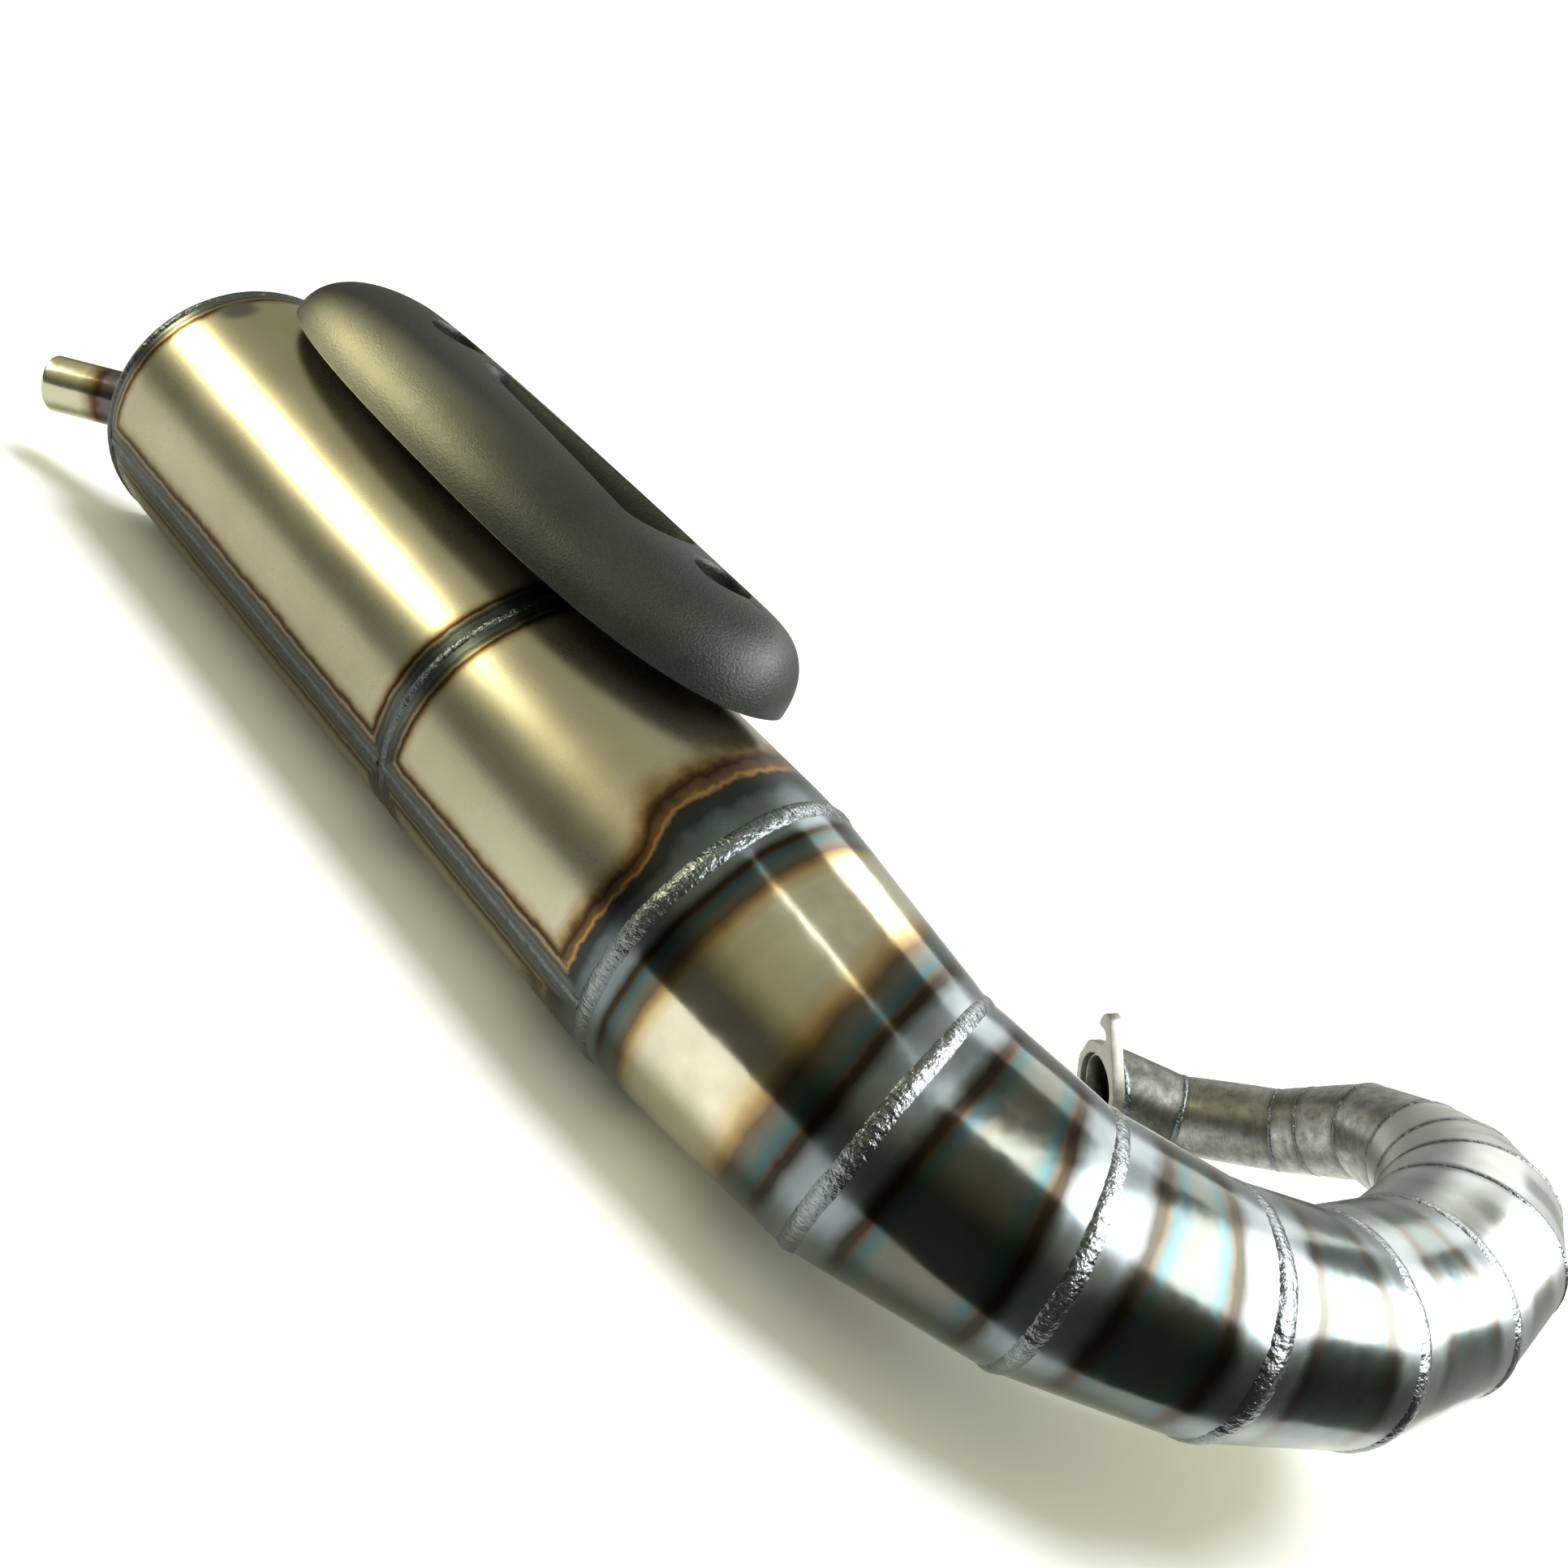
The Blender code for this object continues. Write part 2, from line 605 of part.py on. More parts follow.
def main():
    clear_scene()
    datum = bpy.data.objects.new("datum", None)
    bpy.context.scene.collection.objects.link(datum)
    datum.location = DATUM
    make_barrel(datum)
    make_end_cap(datum)
    make_tail_pipe(datum)
    joints = make_header(datum)
    make_flange(datum, joints[-1])
    make_guard(datum)
    make_fixings(datum)
    make_hanger(datum)
    make_internals(datum)


main()
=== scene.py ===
"""Looks for the racing exhaust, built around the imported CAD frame.

Shapes are drawn in millimetres in the barrel's own frame (origin on its axis at the front weld, +X towards
the header, +Z up) and moved onto the CAD model, which gives the barrel's place.
"""

import math

import bmesh
import bpy
import numpy as np
from mathutils import Matrix, Vector

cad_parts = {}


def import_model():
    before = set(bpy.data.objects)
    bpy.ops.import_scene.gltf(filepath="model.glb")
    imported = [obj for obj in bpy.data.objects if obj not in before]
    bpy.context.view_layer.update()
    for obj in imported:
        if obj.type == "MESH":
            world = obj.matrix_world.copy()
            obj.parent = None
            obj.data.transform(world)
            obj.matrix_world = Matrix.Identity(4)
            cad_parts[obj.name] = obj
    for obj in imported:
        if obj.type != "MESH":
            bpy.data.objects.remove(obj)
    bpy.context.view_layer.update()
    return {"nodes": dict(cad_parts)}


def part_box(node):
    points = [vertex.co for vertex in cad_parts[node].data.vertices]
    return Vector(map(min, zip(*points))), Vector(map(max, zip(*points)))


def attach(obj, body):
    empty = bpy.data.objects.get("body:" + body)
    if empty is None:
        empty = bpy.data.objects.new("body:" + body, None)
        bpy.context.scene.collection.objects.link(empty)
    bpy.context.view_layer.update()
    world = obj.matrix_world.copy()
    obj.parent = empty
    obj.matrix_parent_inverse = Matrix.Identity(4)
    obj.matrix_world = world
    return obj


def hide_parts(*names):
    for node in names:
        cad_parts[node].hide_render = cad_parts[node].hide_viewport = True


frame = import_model()

MM = 0.001
X_AXIS = np.array([1.0, 0.0, 0.0])
Y_AXIS = np.array([0.0, 1.0, 0.0])
Z_AXIS = np.array([0.0, 0.0, 1.0])

# Barrel
BARREL_RADIUS = 48.0
BARREL_REAR = -270.5
CAP_FACE = -272.1  # where the end cap starts to turn in
CAP_RADIUS = 47.6
CAP_DEPTH = 5.2
CAP_FLAT = 0.80  # the flat middle's share of the cap's radius
SEAM = math.radians(-27)
SHEET = 1.2
WELD_LINE = -97.6  # the middle weld's mean place along X

# Distances in mm from a weld to its brown line
SEAM_HAZE = 8.3
MID_HAZE = 6.4
REAR_HAZE = 6.2
FRONT_HAZE = 13.0
FRONT_BULGE = 9.0  # added on the upper side of the front weld

# Header: each cone's length, heading, climb and far radius
HEADER = (
    (67, 2, -1, 40.5),
    (48, 18, 5, 35.5),
    (43, 30, 11, 32.0),
    (45, 54, 8, 30.0),
    (45, 69, 16, 28.5),
    (27, 85, 30, 27.5),
    (18, 101, 15, 26.0),
    (17, 116, 2, 23.0),
    (18, 123, -9, 19.5),
    (26, 129, -22, 17.0),
    (21, 141, -45, 16.0),
    (14, 159, -47, 15.2),
    (38, 186, -37, 15.0),
    (28, 210, -12, 15.0),
)
DULL_FROM = 9  # cones from here on are dull tube
DULL_SLOT_FROM = 8  # the CAD's dull slot starts one cone sooner
FLANGE_HEADING = 230
FLANGE_CLIMB = -30
FLANGE_ROLL = math.radians(28)
WELD_SLOT = 1.6
BEAD_STEP = 0.36  # along a bead, from one row of points to the next
TINT_SPAN = 32.0  # the distance from a weld, in mm, at which the tint ramps end

TAIL_ROOT = np.array([-272.0, -25.0, -6.5])
TAIL_RADIUS = 9.5
TAIL_LENGTH = 41.5
TAIL_WALL = 1.1
TAIL_COURSE = (214, -21)  # heading and climb


def cad_datum():
    """Where the barrel's axis meets its front weld in the CAD model, in metres."""
    low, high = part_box("weld_0")
    return (np.array(low) + np.array(high)) / 2


DATUM = cad_datum()


def unit(v):
    """A vector, or each row of vectors, at length 1."""
    return v / np.linalg.norm(v, axis=-1, keepdims=True)


def direction(heading, climb):
    level = math.cos(math.radians(climb))
    a = math.radians(heading)
    return np.array([level * math.cos(a), level * math.sin(a), math.sin(math.radians(climb))])


def placed(points):
    """Points in millimetres in the barrel's frame, moved onto the CAD model in metres."""
    return np.asarray(points, float) * MM + DATUM


def waves(a, seed, terms=5, low=1):
    """A smooth periodic wobble between about -1 and 1 of an angle."""
    rng = np.random.default_rng(seed)
    total = np.zeros_like(a, dtype=float)
    for k in range(low, low + terms):
        total += rng.normal() * np.sin(k * a + rng.uniform(0, 2 * math.pi)) / math.sqrt(k)
    return total / math.sqrt(terms)


def smooth_step(low, high, value):
    t = np.clip((value - low) / (high - low), 0, 1)
    return t * t * (3 - 2 * t)


# ---------------------------------------------------------------- materials


class Nodes:
    """A short way to write the node tree of a new material, or any tree that is given."""

    def __init__(self, name, tree=None):
        if tree is None:
            self.material = bpy.data.materials.new(name)
            self.material.use_nodes = True
            tree = self.material.node_tree
            self.shader = tree.nodes["Principled BSDF"]
        self.tree = tree

    def add(self, kind, **settings):
        node = self.tree.nodes.new(kind)
        for key, value in settings.items():
            setattr(node, key, value)
        return node

    def link(self, source, target):
        self.tree.links.new(source, target)

    def set(self, node, **values):
        for key, value in values.items():
            socket = node.inputs[key.replace("_", " ")]
            if isinstance(value, bpy.types.NodeSocket):
                self.link(value, socket)
            else:
                socket.default_value = value
        return node

    def attribute(self, name):
        return self.add("ShaderNodeAttribute", attribute_name=name).outputs["Fac"]

    def position(self, scale=(1, 1, 1)):
        """Object coordinates in centimetres, stretched."""
        coords = self.add("ShaderNodeTexCoord").outputs["Object"]
        mapping = self.add("ShaderNodeMapping")
        mapping.inputs["Scale"].default_value = [100 * s for s in scale]
        self.link(coords, mapping.inputs["Vector"])
        return mapping.outputs["Vector"]

    def noise(self, scale, detail=3.0, rough=0.5, stretch=(1, 1, 1), offset=0.0):
        node = self.add("ShaderNodeTexNoise", noise_dimensions="4D")
        self.set(node, Scale=scale, Detail=detail, Roughness=rough, W=offset)
        self.link(self.position(stretch), node.inputs["Vector"])
        return node.outputs["Fac"]

    def math(self, operation, a, b):
        node = self.add("ShaderNodeMath", operation=operation)
        for i, value in enumerate((a, b)):
            if isinstance(value, bpy.types.NodeSocket):
                self.link(value, node.inputs[i])
            else:
                node.inputs[i].default_value = value
        return node.outputs[0]

    def span(self, value, low, high, to_low=0.0, to_high=1.0):
        node = self.add("ShaderNodeMapRange", clamp=True)
        self.link(value, node.inputs["Value"])
        self.set(node, From_Min=low, From_Max=high, To_Min=to_low, To_Max=to_high)
        return node.outputs["Result"]

    def ramp(self, value, stops):
        node = self.add("ShaderNodeValToRGB")
        self.link(value, node.inputs["Fac"])
        elements = node.color_ramp.elements
        while len(elements) < len(stops):
            elements.new(0.5)
        for element, (place, colour) in zip(elements, stops):
            element.position = place
            element.color = (*colour, 1)
        return node.outputs["Color"]

    def mix(self, factor, a, b, blend="MIX"):
        node = self.add("ShaderNodeMix", data_type="RGBA", blend_type=blend)
        for i, value in ((0, factor), (6, a), (7, b)):
            socket = node.inputs[i]
            if isinstance(value, bpy.types.NodeSocket):
                self.link(value, socket)
            elif isinstance(value, tuple):
                socket.default_value = (*value, 1)
            else:
                socket.default_value = value
        return node.outputs[2]

    def bump(self, height, distance, strength=1.0, normal=None):
        node = self.add("ShaderNodeBump")
        self.set(node, Strength=strength, Distance=distance * MM)
        self.link(height, node.inputs["Height"])
        if normal:
            self.link(normal, node.inputs["Normal"])
        return node.outputs["Normal"]

    def finish(self, colour, roughness, metallic, normal):
        self.set(self.shader, Base_Color=colour, Roughness=roughness, Metallic=metallic, Normal=normal)
        return self.material


def barrel_material():
    """Satin rolled sheet. The haz attribute runs from 0 on a weld to 1 at its brown edge line."""
    n = Nodes("satin_barrel_steel")
    haz = n.attribute("haz")
    warp = n.span(n.noise(2.2, detail=2.0), 0.3, 0.7, -0.05, 0.05)
    edge = n.math("ADD", haz, warp)
    tint = n.ramp(n.math("MULTIPLY", edge, 0.5), (
        (0.00, (0.24, 0.25, 0.24)), (0.09, (0.20, 0.205, 0.195)), (0.13, (0.13, 0.14, 0.135)),
        (0.24, (0.19, 0.19, 0.172)), (0.28, (0.085, 0.082, 0.070)), (0.34, (0.16, 0.148, 0.122)),
        (0.385, (0.36, 0.31, 0.215)), (0.415, (0.32, 0.23, 0.12)), (0.44, (0.09, 0.055, 0.03)),
        (0.49, (0.04, 0.022, 0.012)), (0.53, (0.16, 0.10, 0.05)), (0.62, (0.40, 0.335, 0.22)),
        (0.80, (0.56, 0.52, 0.41)),
    ))
    cloud = n.span(n.noise(0.35, detail=4.0, offset=3.0), 0.3, 0.7)
    sheet = n.mix(cloud, (0.58, 0.545, 0.43), (0.50, 0.465, 0.355))
    hot = n.ramp(n.math("MULTIPLY", edge, 0.5), (
        (0.00, (0.17, 0.20, 0.215)), (0.16, (0.10, 0.125, 0.135)), (0.24, (0.035, 0.045, 0.048)),
        (0.33, (0.045, 0.040, 0.036)), (0.365, (0.40, 0.24, 0.085)), (0.39, (0.16, 0.095, 0.045)),
        (0.44, (0.095, 0.060, 0.035)), (0.47, (0.045, 0.024, 0.012)), (0.51, (0.11, 0.065, 0.028)),
        (0.58, (0.34, 0.26, 0.13)), (0.72, (0.56, 0.52, 0.40)),
    ))
    black = n.mix(1.0, tint, (0.36, 0.40, 0.40), "MULTIPLY")
    tint = n.mix(n.attribute("mid"), tint, black)
    tint = n.mix(n.attribute("front"), tint, hot)
    away = n.span(edge, 1.15, 1.9)
    colour = n.mix(away, tint, sheet)
    patch = n.attribute("patch")
    colour = n.mix(patch, colour, (0.20, 0.20, 0.19))
    grain = n.noise(42.0, detail=3.0, rough=0.7, stretch=(1, 0.22, 0.22))
    colour = n.mix(n.span(grain, 0.25, 0.75, 0.0, 0.16), colour, (0.40, 0.37, 0.29), "MULTIPLY")
    smear = n.noise(1.1, detail=5.0, stretch=(0.5, 1, 1), offset=8.0)
    rough = n.math("ADD", n.span(smear, 0.3, 0.7, 0.275, 0.305), n.span(grain, 0.3, 0.7, -0.03, 0.03))
    marks = n.noise(9.0, detail=2.0, stretch=(0.25, 1.0, 1.0), offset=5.0)
    marks = n.span(marks, 0.72, 0.76)
    rough = n.math("SUBTRACT", rough, n.math("MULTIPLY", marks, 0.07))
    normal = n.bump(grain, 0.005, 0.6)
    normal = n.bump(n.noise(0.4, detail=1.0, offset=1.0), 0.4, 0.3, normal)
    return n.finish(colour, rough, 1.0, normal)


def header_material():
    """Polished tube with heat tints. The tint attribute is the distance from the nearest weld in mm."""
    n = Nodes("heat_tinted_header_steel")
    heat = n.attribute("tint")
    pale = n.attribute("pale")
    warp = n.span(n.noise(0.8, detail=2.0), 0.25, 0.75, -0.9, 0.9)
    streak = n.span(n.noise(5.0, detail=1.0, offset=4.0), 0.3, 0.7, -0.06, 0.06)
    edge = n.math("ADD", n.math("ADD", heat, warp), streak)
    tint = n.ramp(n.math("MULTIPLY", edge, 1 / TINT_SPAN), (
        (0.00, (0.25, 0.285, 0.305)), (0.22, (0.17, 0.20, 0.22)), (0.275, (0.10, 0.105, 0.105)),
        (0.32, (0.030, 0.026, 0.020)), (0.370, (0.034, 0.024, 0.016)), (0.400, (0.066, 0.056, 0.040)),
        (0.425, (0.056, 0.076, 0.076)), (0.460, (0.056, 0.099, 0.109)), (0.50, (0.078, 0.108, 0.104)),
        (0.56, (0.108, 0.117, 0.104)), (0.67, (0.130, 0.096, 0.064)), (0.75, (0.34, 0.235, 0.11)),
        (0.83, (0.58, 0.47, 0.27)), (0.97, (0.68, 0.635, 0.50)),
    ))
    cloud = n.noise(0.9, detail=4.0, offset=2.0)
    darkening = n.mix(n.span(cloud, 0.35, 0.7, 0.0, 0.35), tint, (0.45, 0.43, 0.40), "MULTIPLY")
    dull = n.mix(n.span(cloud, 0.3, 0.7), (0.45, 0.47, 0.45), (0.36, 0.375, 0.365))
    near = n.span(edge, 0.5, 2.2, 1.0, 0.0)
    dull = n.mix(near, dull, (0.16, 0.16, 0.155))
    colour = n.mix(pale, darkening, dull)
    grain = n.noise(26.0, detail=3.0, rough=0.65)
    rough = n.span(n.noise(1.4, detail=5.0, offset=6.0), 0.25, 0.75, 0.10, 0.19)
    oxide = n.math("MULTIPLY", n.span(edge, 7.0, 10.0, 1.0, 0.0), 0.09)
    rough = n.math("ADD", rough, oxide)
    rough = n.math("ADD", rough, n.math("MULTIPLY", pale, 0.20))
    normal = n.bump(grain, 0.004, 0.5)
    normal = n.bump(n.noise(0.8, detail=2.0, offset=1.0), 0.4, 0.35, normal)
    return n.finish(colour, rough, 1.0, normal)


def return_material():
    """Dull mottled tube with scratches across it."""
    n = Nodes("dull_return_steel")
    mottle = n.noise(2.4, detail=6.0, rough=0.65)
    fine = n.noise(14.0, detail=4.0, rough=0.7, offset=2.0)
    colour = n.ramp(mottle, (
        (0.30, (0.15, 0.153, 0.145)), (0.48, (0.27, 0.275, 0.263)), (0.62, (0.38, 0.385, 0.37)),
        (0.75, (0.48, 0.485, 0.465)),
    ))
    colour = n.mix(n.span(fine, 0.35, 0.7, 0.0, 0.35), colour, (0.42, 0.42, 0.40), "MULTIPLY")
    along = n.attribute("along")
    lines = n.add("ShaderNodeTexNoise", noise_dimensions="1D")
    n.set(lines, Scale=2.6, Detail=3.0, Roughness=0.7, W=along)
    scratch = n.span(lines.outputs["Fac"], 0.58, 0.72)
    colour = n.mix(n.math("MULTIPLY", scratch, 0.5), colour, (0.55, 0.54, 0.51))
    near = n.span(n.attribute("tint"), 0.4, 2.4, 1.0, 0.0)
    colour = n.mix(n.math("MULTIPLY", near, 0.6), colour, (0.10, 0.10, 0.095))
    # The last tube, next to the flange, is made darker and rougher all over.
    darkening = n.attribute("darkening")
    colour = n.mix(darkening, colour, n.mix(1.0, colour, (0.42, 0.42, 0.41), "MULTIPLY"))
    rough = n.math("ADD", n.span(mottle, 0.3, 0.7, 0.38, 0.27), n.math("MULTIPLY", darkening, 0.10))
    rough = n.math("ADD", rough, n.span(fine, 0.3, 0.7, -0.04, 0.08))
    normal = n.bump(fine, 0.02, 0.5)
    return n.finish(colour, rough, 1.0, normal)


def bead_material():
    """Fused weld metal: bright crests, darker toes."""
    n = Nodes("rippled_weld_metal")
    crest = n.attribute("crest")
    blotch = n.noise(9.0, detail=4.0, rough=0.6)
    colour = n.ramp(
        crest,
        ((0.0, (0.14, 0.16, 0.175)), (0.4, (0.19, 0.215, 0.23)), (1.0, (0.40, 0.43, 0.45))),
    )
    colour = n.mix(n.span(blotch, 0.35, 0.7, 0.0, 0.5), colour, (0.42, 0.40, 0.38), "MULTIPLY")
    rough = n.span(blotch, 0.3, 0.7, 0.12, 0.26)
    normal = n.bump(n.noise(4.0, detail=2.0, rough=0.5, offset=3.0), 0.75, 1.0)
    normal = n.bump(n.noise(11.0, detail=3.0, rough=0.6), 0.30, 1.0, normal)
    return n.finish(colour, rough, 1.0, normal)


def flange_material():
    n = Nodes("matte_laser_cut_plate")
    mottle = n.noise(3.0, detail=6.0, rough=0.6)
    colour = n.ramp(mottle, ((0.3, (0.25, 0.245, 0.225)), (0.7, (0.36, 0.355, 0.33))))
    mill = n.noise(20.0, detail=3.0, rough=0.6, stretch=(1, 0.15, 1))
    colour = n.mix(n.span(mill, 0.3, 0.7, 0.0, 0.25), colour, (0.6, 0.58, 0.54), "MULTIPLY")
    rough = n.span(mottle, 0.3, 0.7, 0.40, 0.52)
    return n.finish(colour, rough, 1.0, n.bump(mill, 0.02, 0.6))


def guard_material():
    """Dark grey satin coating with a fine orange-peel texture, a painted highlight on its rear flank and
    painted shade in its trough and wells.
    """
    n = Nodes("textured_guard_coating")
    cloud = n.noise(0.5, detail=3.0)
    colour = n.mix(n.span(cloud, 0.3, 0.7), (0.030, 0.035, 0.033), (0.044, 0.050, 0.046))
    speck = n.noise(22.0, detail=3.0, rough=0.75)
    colour = n.mix(n.span(speck, 0.40, 0.66, 0.0, 0.60), colour, (0.085, 0.090, 0.079))
    # Painted highlight: the rear flank on the -Y side is mixed towards a light warm olive.
    colour = n.mix(n.attribute("painted_highlight"), colour, (0.42, 0.405, 0.30))
    # Painted shade: the trough and the well cups are darkened almost to black, and made rougher.
    colour = n.mix(n.attribute("recess_shade"), colour, (0.012, 0.012, 0.011))
    rough = n.span(n.noise(1.2, detail=4.0, offset=2.0), 0.3, 0.7, 0.42, 0.50)
    rough = n.math("ADD", rough, n.math("MULTIPLY", n.attribute("recess_shade"), 0.25))
    normal = n.bump(n.noise(13.0, detail=3.0, rough=0.7, offset=1.0), 0.24, 1.0)
    return n.finish(colour, rough, 0.85, normal)


def tail_material():
    """Polished tube: clean at its mouth, then a brown line, purple and dark blue-grey at the weld."""
    n = Nodes("polished_tail_steel")
    heat = n.math("ADD", n.attribute("tint"), n.span(n.noise(3.0, detail=2.0), 0.3, 0.7, -0.8, 0.8))
    colour = n.ramp(n.math("MULTIPLY", heat, 1 / TINT_SPAN), (
        (0.00, (0.22, 0.25, 0.27)), (0.24, (0.17, 0.19, 0.215)), (0.36, (0.20, 0.17, 0.19)),
        (0.43, (0.12, 0.065, 0.045)), (0.47, (0.25, 0.15, 0.07)), (0.53, (0.50, 0.44, 0.31)),
        (0.62, (0.90, 0.86, 0.67)),
    ))
    rough = n.span(n.noise(4.0, detail=4.0, stretch=(1, 1, 0.3)), 0.3, 0.7, 0.15, 0.23)
    return n.finish(colour, rough, 1.0, n.bump(n.noise(1.5, detail=2.0), 0.25, 0.3))


def fastener_material():
    n = Nodes("black_oxide_fastener")
    mottle = n.noise(8.0, detail=4.0)
    colour = n.ramp(mottle, ((0.3, (0.05, 0.05, 0.052)), (0.7, (0.12, 0.12, 0.118))))
    return n.finish(colour, n.span(mottle, 0.3, 0.7, 0.30, 0.42), 0.9, n.bump(mottle, 0.02, 0.4))


def inner_material():
    n = Nodes("unfinished_inner_sheet")
    mottle = n.noise(2.0, detail=6.0)
    colour = n.ramp(mottle, ((0.3, (0.10, 0.09, 0.08)), (0.7, (0.24, 0.22, 0.20))))
    return n.finish(colour, n.span(mottle, 0.3, 0.7, 0.5, 0.7), 1.0, n.bump(mottle, 0.05, 0.5))


TABLE = (0.90, 0.90, 0.89)


def floor_material(name, colour_of):
    """Pale matte table. The colour comes from a function of the material's nodes."""
    n = Nodes(name)
    n.set(n.shader, Base_Color=colour_of(n), Roughness=0.42)
    n.shader.inputs["Specular IOR Level"].default_value = 0.12
    return n.material


def plain_floor(_):
    return (*TABLE, 1)


def mirrored_floor(n):
    """As the metal shows it: dimmer under the barrel, which shades the table from the room's lights."""
    split = n.add("ShaderNodeSeparateXYZ")
    n.link(n.position(), split.inputs[0])
    return n.mix(n.span(split.outputs["X"], -12.0, 9.0), (0.44, 0.43, 0.40), TABLE)


MATERIALS = {
    "barrel_steel": barrel_material(),
    "header_steel": header_material(),
    "return_steel": return_material(),
    "weld_bead": bead_material(),
    "flange_steel": flange_material(),
    "guard_coating": guard_material(),
    "tail_steel": tail_material(),
    "fastener_steel": fastener_material(),
    "inner_steel": inner_material(),
}


# ---------------------------------------------------------------- meshes


def mesh_object(name, points, faces, attributes=None):
    """An object in the scene from points in mm, with point attributes."""
    mesh = bpy.data.meshes.new(name)
    mesh.from_pydata([tuple(p) for p in placed(points)], [], [tuple(int(i) for i in f) for f in faces])
    for key, values in (attributes or {}).items():
        layer = mesh.attributes.new(key, "FLOAT", "POINT")
        layer.data.foreach_set("value", np.asarray(values, np.float32).ravel())
    return in_scene(name, mesh)


def in_scene(name, data):
    made = bpy.data.objects.new(name, data)
    bpy.context.scene.collection.objects.link(made)
    return made


def face_outward(mesh):
    bm = bmesh.new()
    bm.from_mesh(mesh)
    bmesh.ops.recalc_face_normals(bm, faces=bm.faces)
    bm.to_mesh(mesh)
    bm.free()


def piece(name, points, faces, slot, replaces=(), attributes=None, sharp=40):
    """Makes a smooth-shaded piece from points in mm and puts it in the frame."""
    return settle(mesh_object(name, points, faces, attributes), slot, replaces, sharp)


def settle(made, slot, replaces=(), sharp=40):
    """Faces outward, smooth shading, material, and the piece's place in the frame."""
    mesh = made.data
    face_outward(mesh)
    mesh.materials.clear()
    mesh.materials.append(MATERIALS[slot])
    mesh.shade_smooth()
    mesh.set_sharp_from_angle(angle=math.radians(sharp))
    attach(made, "root")
    if replaces:
        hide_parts(*replaces)
    return made


def sheet_faces(rows, columns, close_rows=False, close_columns=True):
    """Quads of a grid numbered row by row. A closed direction joins its last line to its first."""
    faces = []
    for i in range(rows if close_rows else rows - 1):
        near, far = i * columns, (i + 1) % rows * columns
        for j in range(columns if close_columns else columns - 1):
            k = (j + 1) % columns
            faces.append((near + j, near + k, far + k, far + j))
    return faces


def ring(centre, axis, start, radius, count):
    """A circle about an axis. The start direction is square to it."""
    across = np.cross(axis, start)
    a = np.linspace(0, 2 * math.pi, count, endpoint=False)[:, None]
    return centre + radius * (np.cos(a) * start + np.sin(a) * across)


def lathe(name, origin, axis, start, profile, slot, replaces=(), count=64, attributes=None):
    """A closed turned piece from (along, radius) points. The last point joins the first."""
    loops = [ring(origin + along * axis, axis, start, radius, count) for along, radius in profile]
    points = np.concatenate(loops)
    values = {key: np.repeat(value, count) for key, value in (attributes or {}).items()}
    return piece(name, points, sheet_faces(len(profile), count, True), slot, replaces, values)


# ---------------------------------------------------------------- barrel


def mid_weld_line(theta):
    """The middle weld isn't square to the axis: its place along X by angle, from -Y round to +Z."""
    step = 2.9 / (1 + np.exp(-(np.degrees(theta) - 33) / 9.0)) * np.cos(theta / 2) ** 2
    return WELD_LINE + step - 0.6 * np.sin(theta * 2)


def wrap(a):
    return (a + math.pi) % (2 * math.pi) - math.pi


def barrel_heat(x, theta):
    """Distance from the nearest weld, as a share of the distance to that weld's brown line.

    Also how far the front weld is the nearest, and how far the middle weld is.
    """
    seam = BARREL_RADIUS * np.abs(wrap(theta - SEAM)) / (SEAM_HAZE + 0.45 * waves(x / 30.0, 3, 6))
    mid = np.abs(x - mid_weld_line(theta)) / (MID_HAZE + 0.35 * waves(theta, 5, 5))
    upper = smooth_step(math.radians(22), math.radians(42), np.abs(wrap(theta)))
    bulge = FRONT_HAZE + FRONT_BULGE * upper
    bulge += 0.9 * waves(theta, 7, 8)
    front = (-x) / bulge
    rear = (x + 272.0) / (REAR_HAZE + 0.8 * waves(theta, 9, 7))
    nearest = np.minimum(np.minimum(seam, mid), rear)
    burnt = smooth_step(-0.1, 0.25, np.minimum(seam, rear) - mid) * smooth_step(1.0, 0.8, mid)
    return np.minimum(nearest, front), smooth_step(-0.12, 0.12, nearest - front), burnt


def weld_pull(distance, depth=0.28, reach=6.0):
    """How far the sheet is drawn in beside a weld."""
    return -depth * np.exp(-((distance / reach) ** 2))


def barrel_shell(name, low, high, replaces):
    columns = 200
    xs = np.linspace(low, high, int((high - low) / 1.1))
    theta = np.linspace(-math.pi, math.pi, columns, endpoint=False)
    x, t = np.meshgrid(xs, theta, indexing="ij")
    radius = np.full_like(x, BARREL_RADIUS)
    radius += weld_pull(x - mid_weld_line(t), 0.22)
    radius += weld_pull(x, 0.30, 7.0) + weld_pull(x - BARREL_REAR, 0.30)
    radius += weld_pull(BARREL_RADIUS * wrap(t - SEAM), 0.20)
    radius += 0.05 * waves(t + x / 120.0, 11, 4, 2)
    heat, front, mid = barrel_heat(x, t)
    mid *= smooth_step(math.radians(-12), math.radians(22), np.abs(t))
    patch = np.exp(-(((x + 262.5) / 5.0) ** 2 + ((np.degrees(t) - 54) / 8.0) ** 2) ** 3)
    # The two inner rows close the sheet's thickness
    inner = np.full((2, columns), BARREL_RADIUS - SHEET)
    x = np.concatenate([x, np.full((1, columns), high), np.full((1, columns), low)])
    t = np.concatenate([t, t[:2]])
    radius = np.concatenate([radius, inner])
    points = np.stack([x, -radius * np.cos(t), radius * np.sin(t)], axis=-1).reshape(-1, 3)
    attributes = {"haz": np.concatenate([heat, heat[-1:], heat[:1]])}
    for key, values in (("patch", patch), ("front", front), ("mid", mid)):
        attributes[key] = np.concatenate([values, 0 * inner])
    piece(name, points, sheet_faces(len(x), columns, True), "barrel_steel", replaces, attributes)


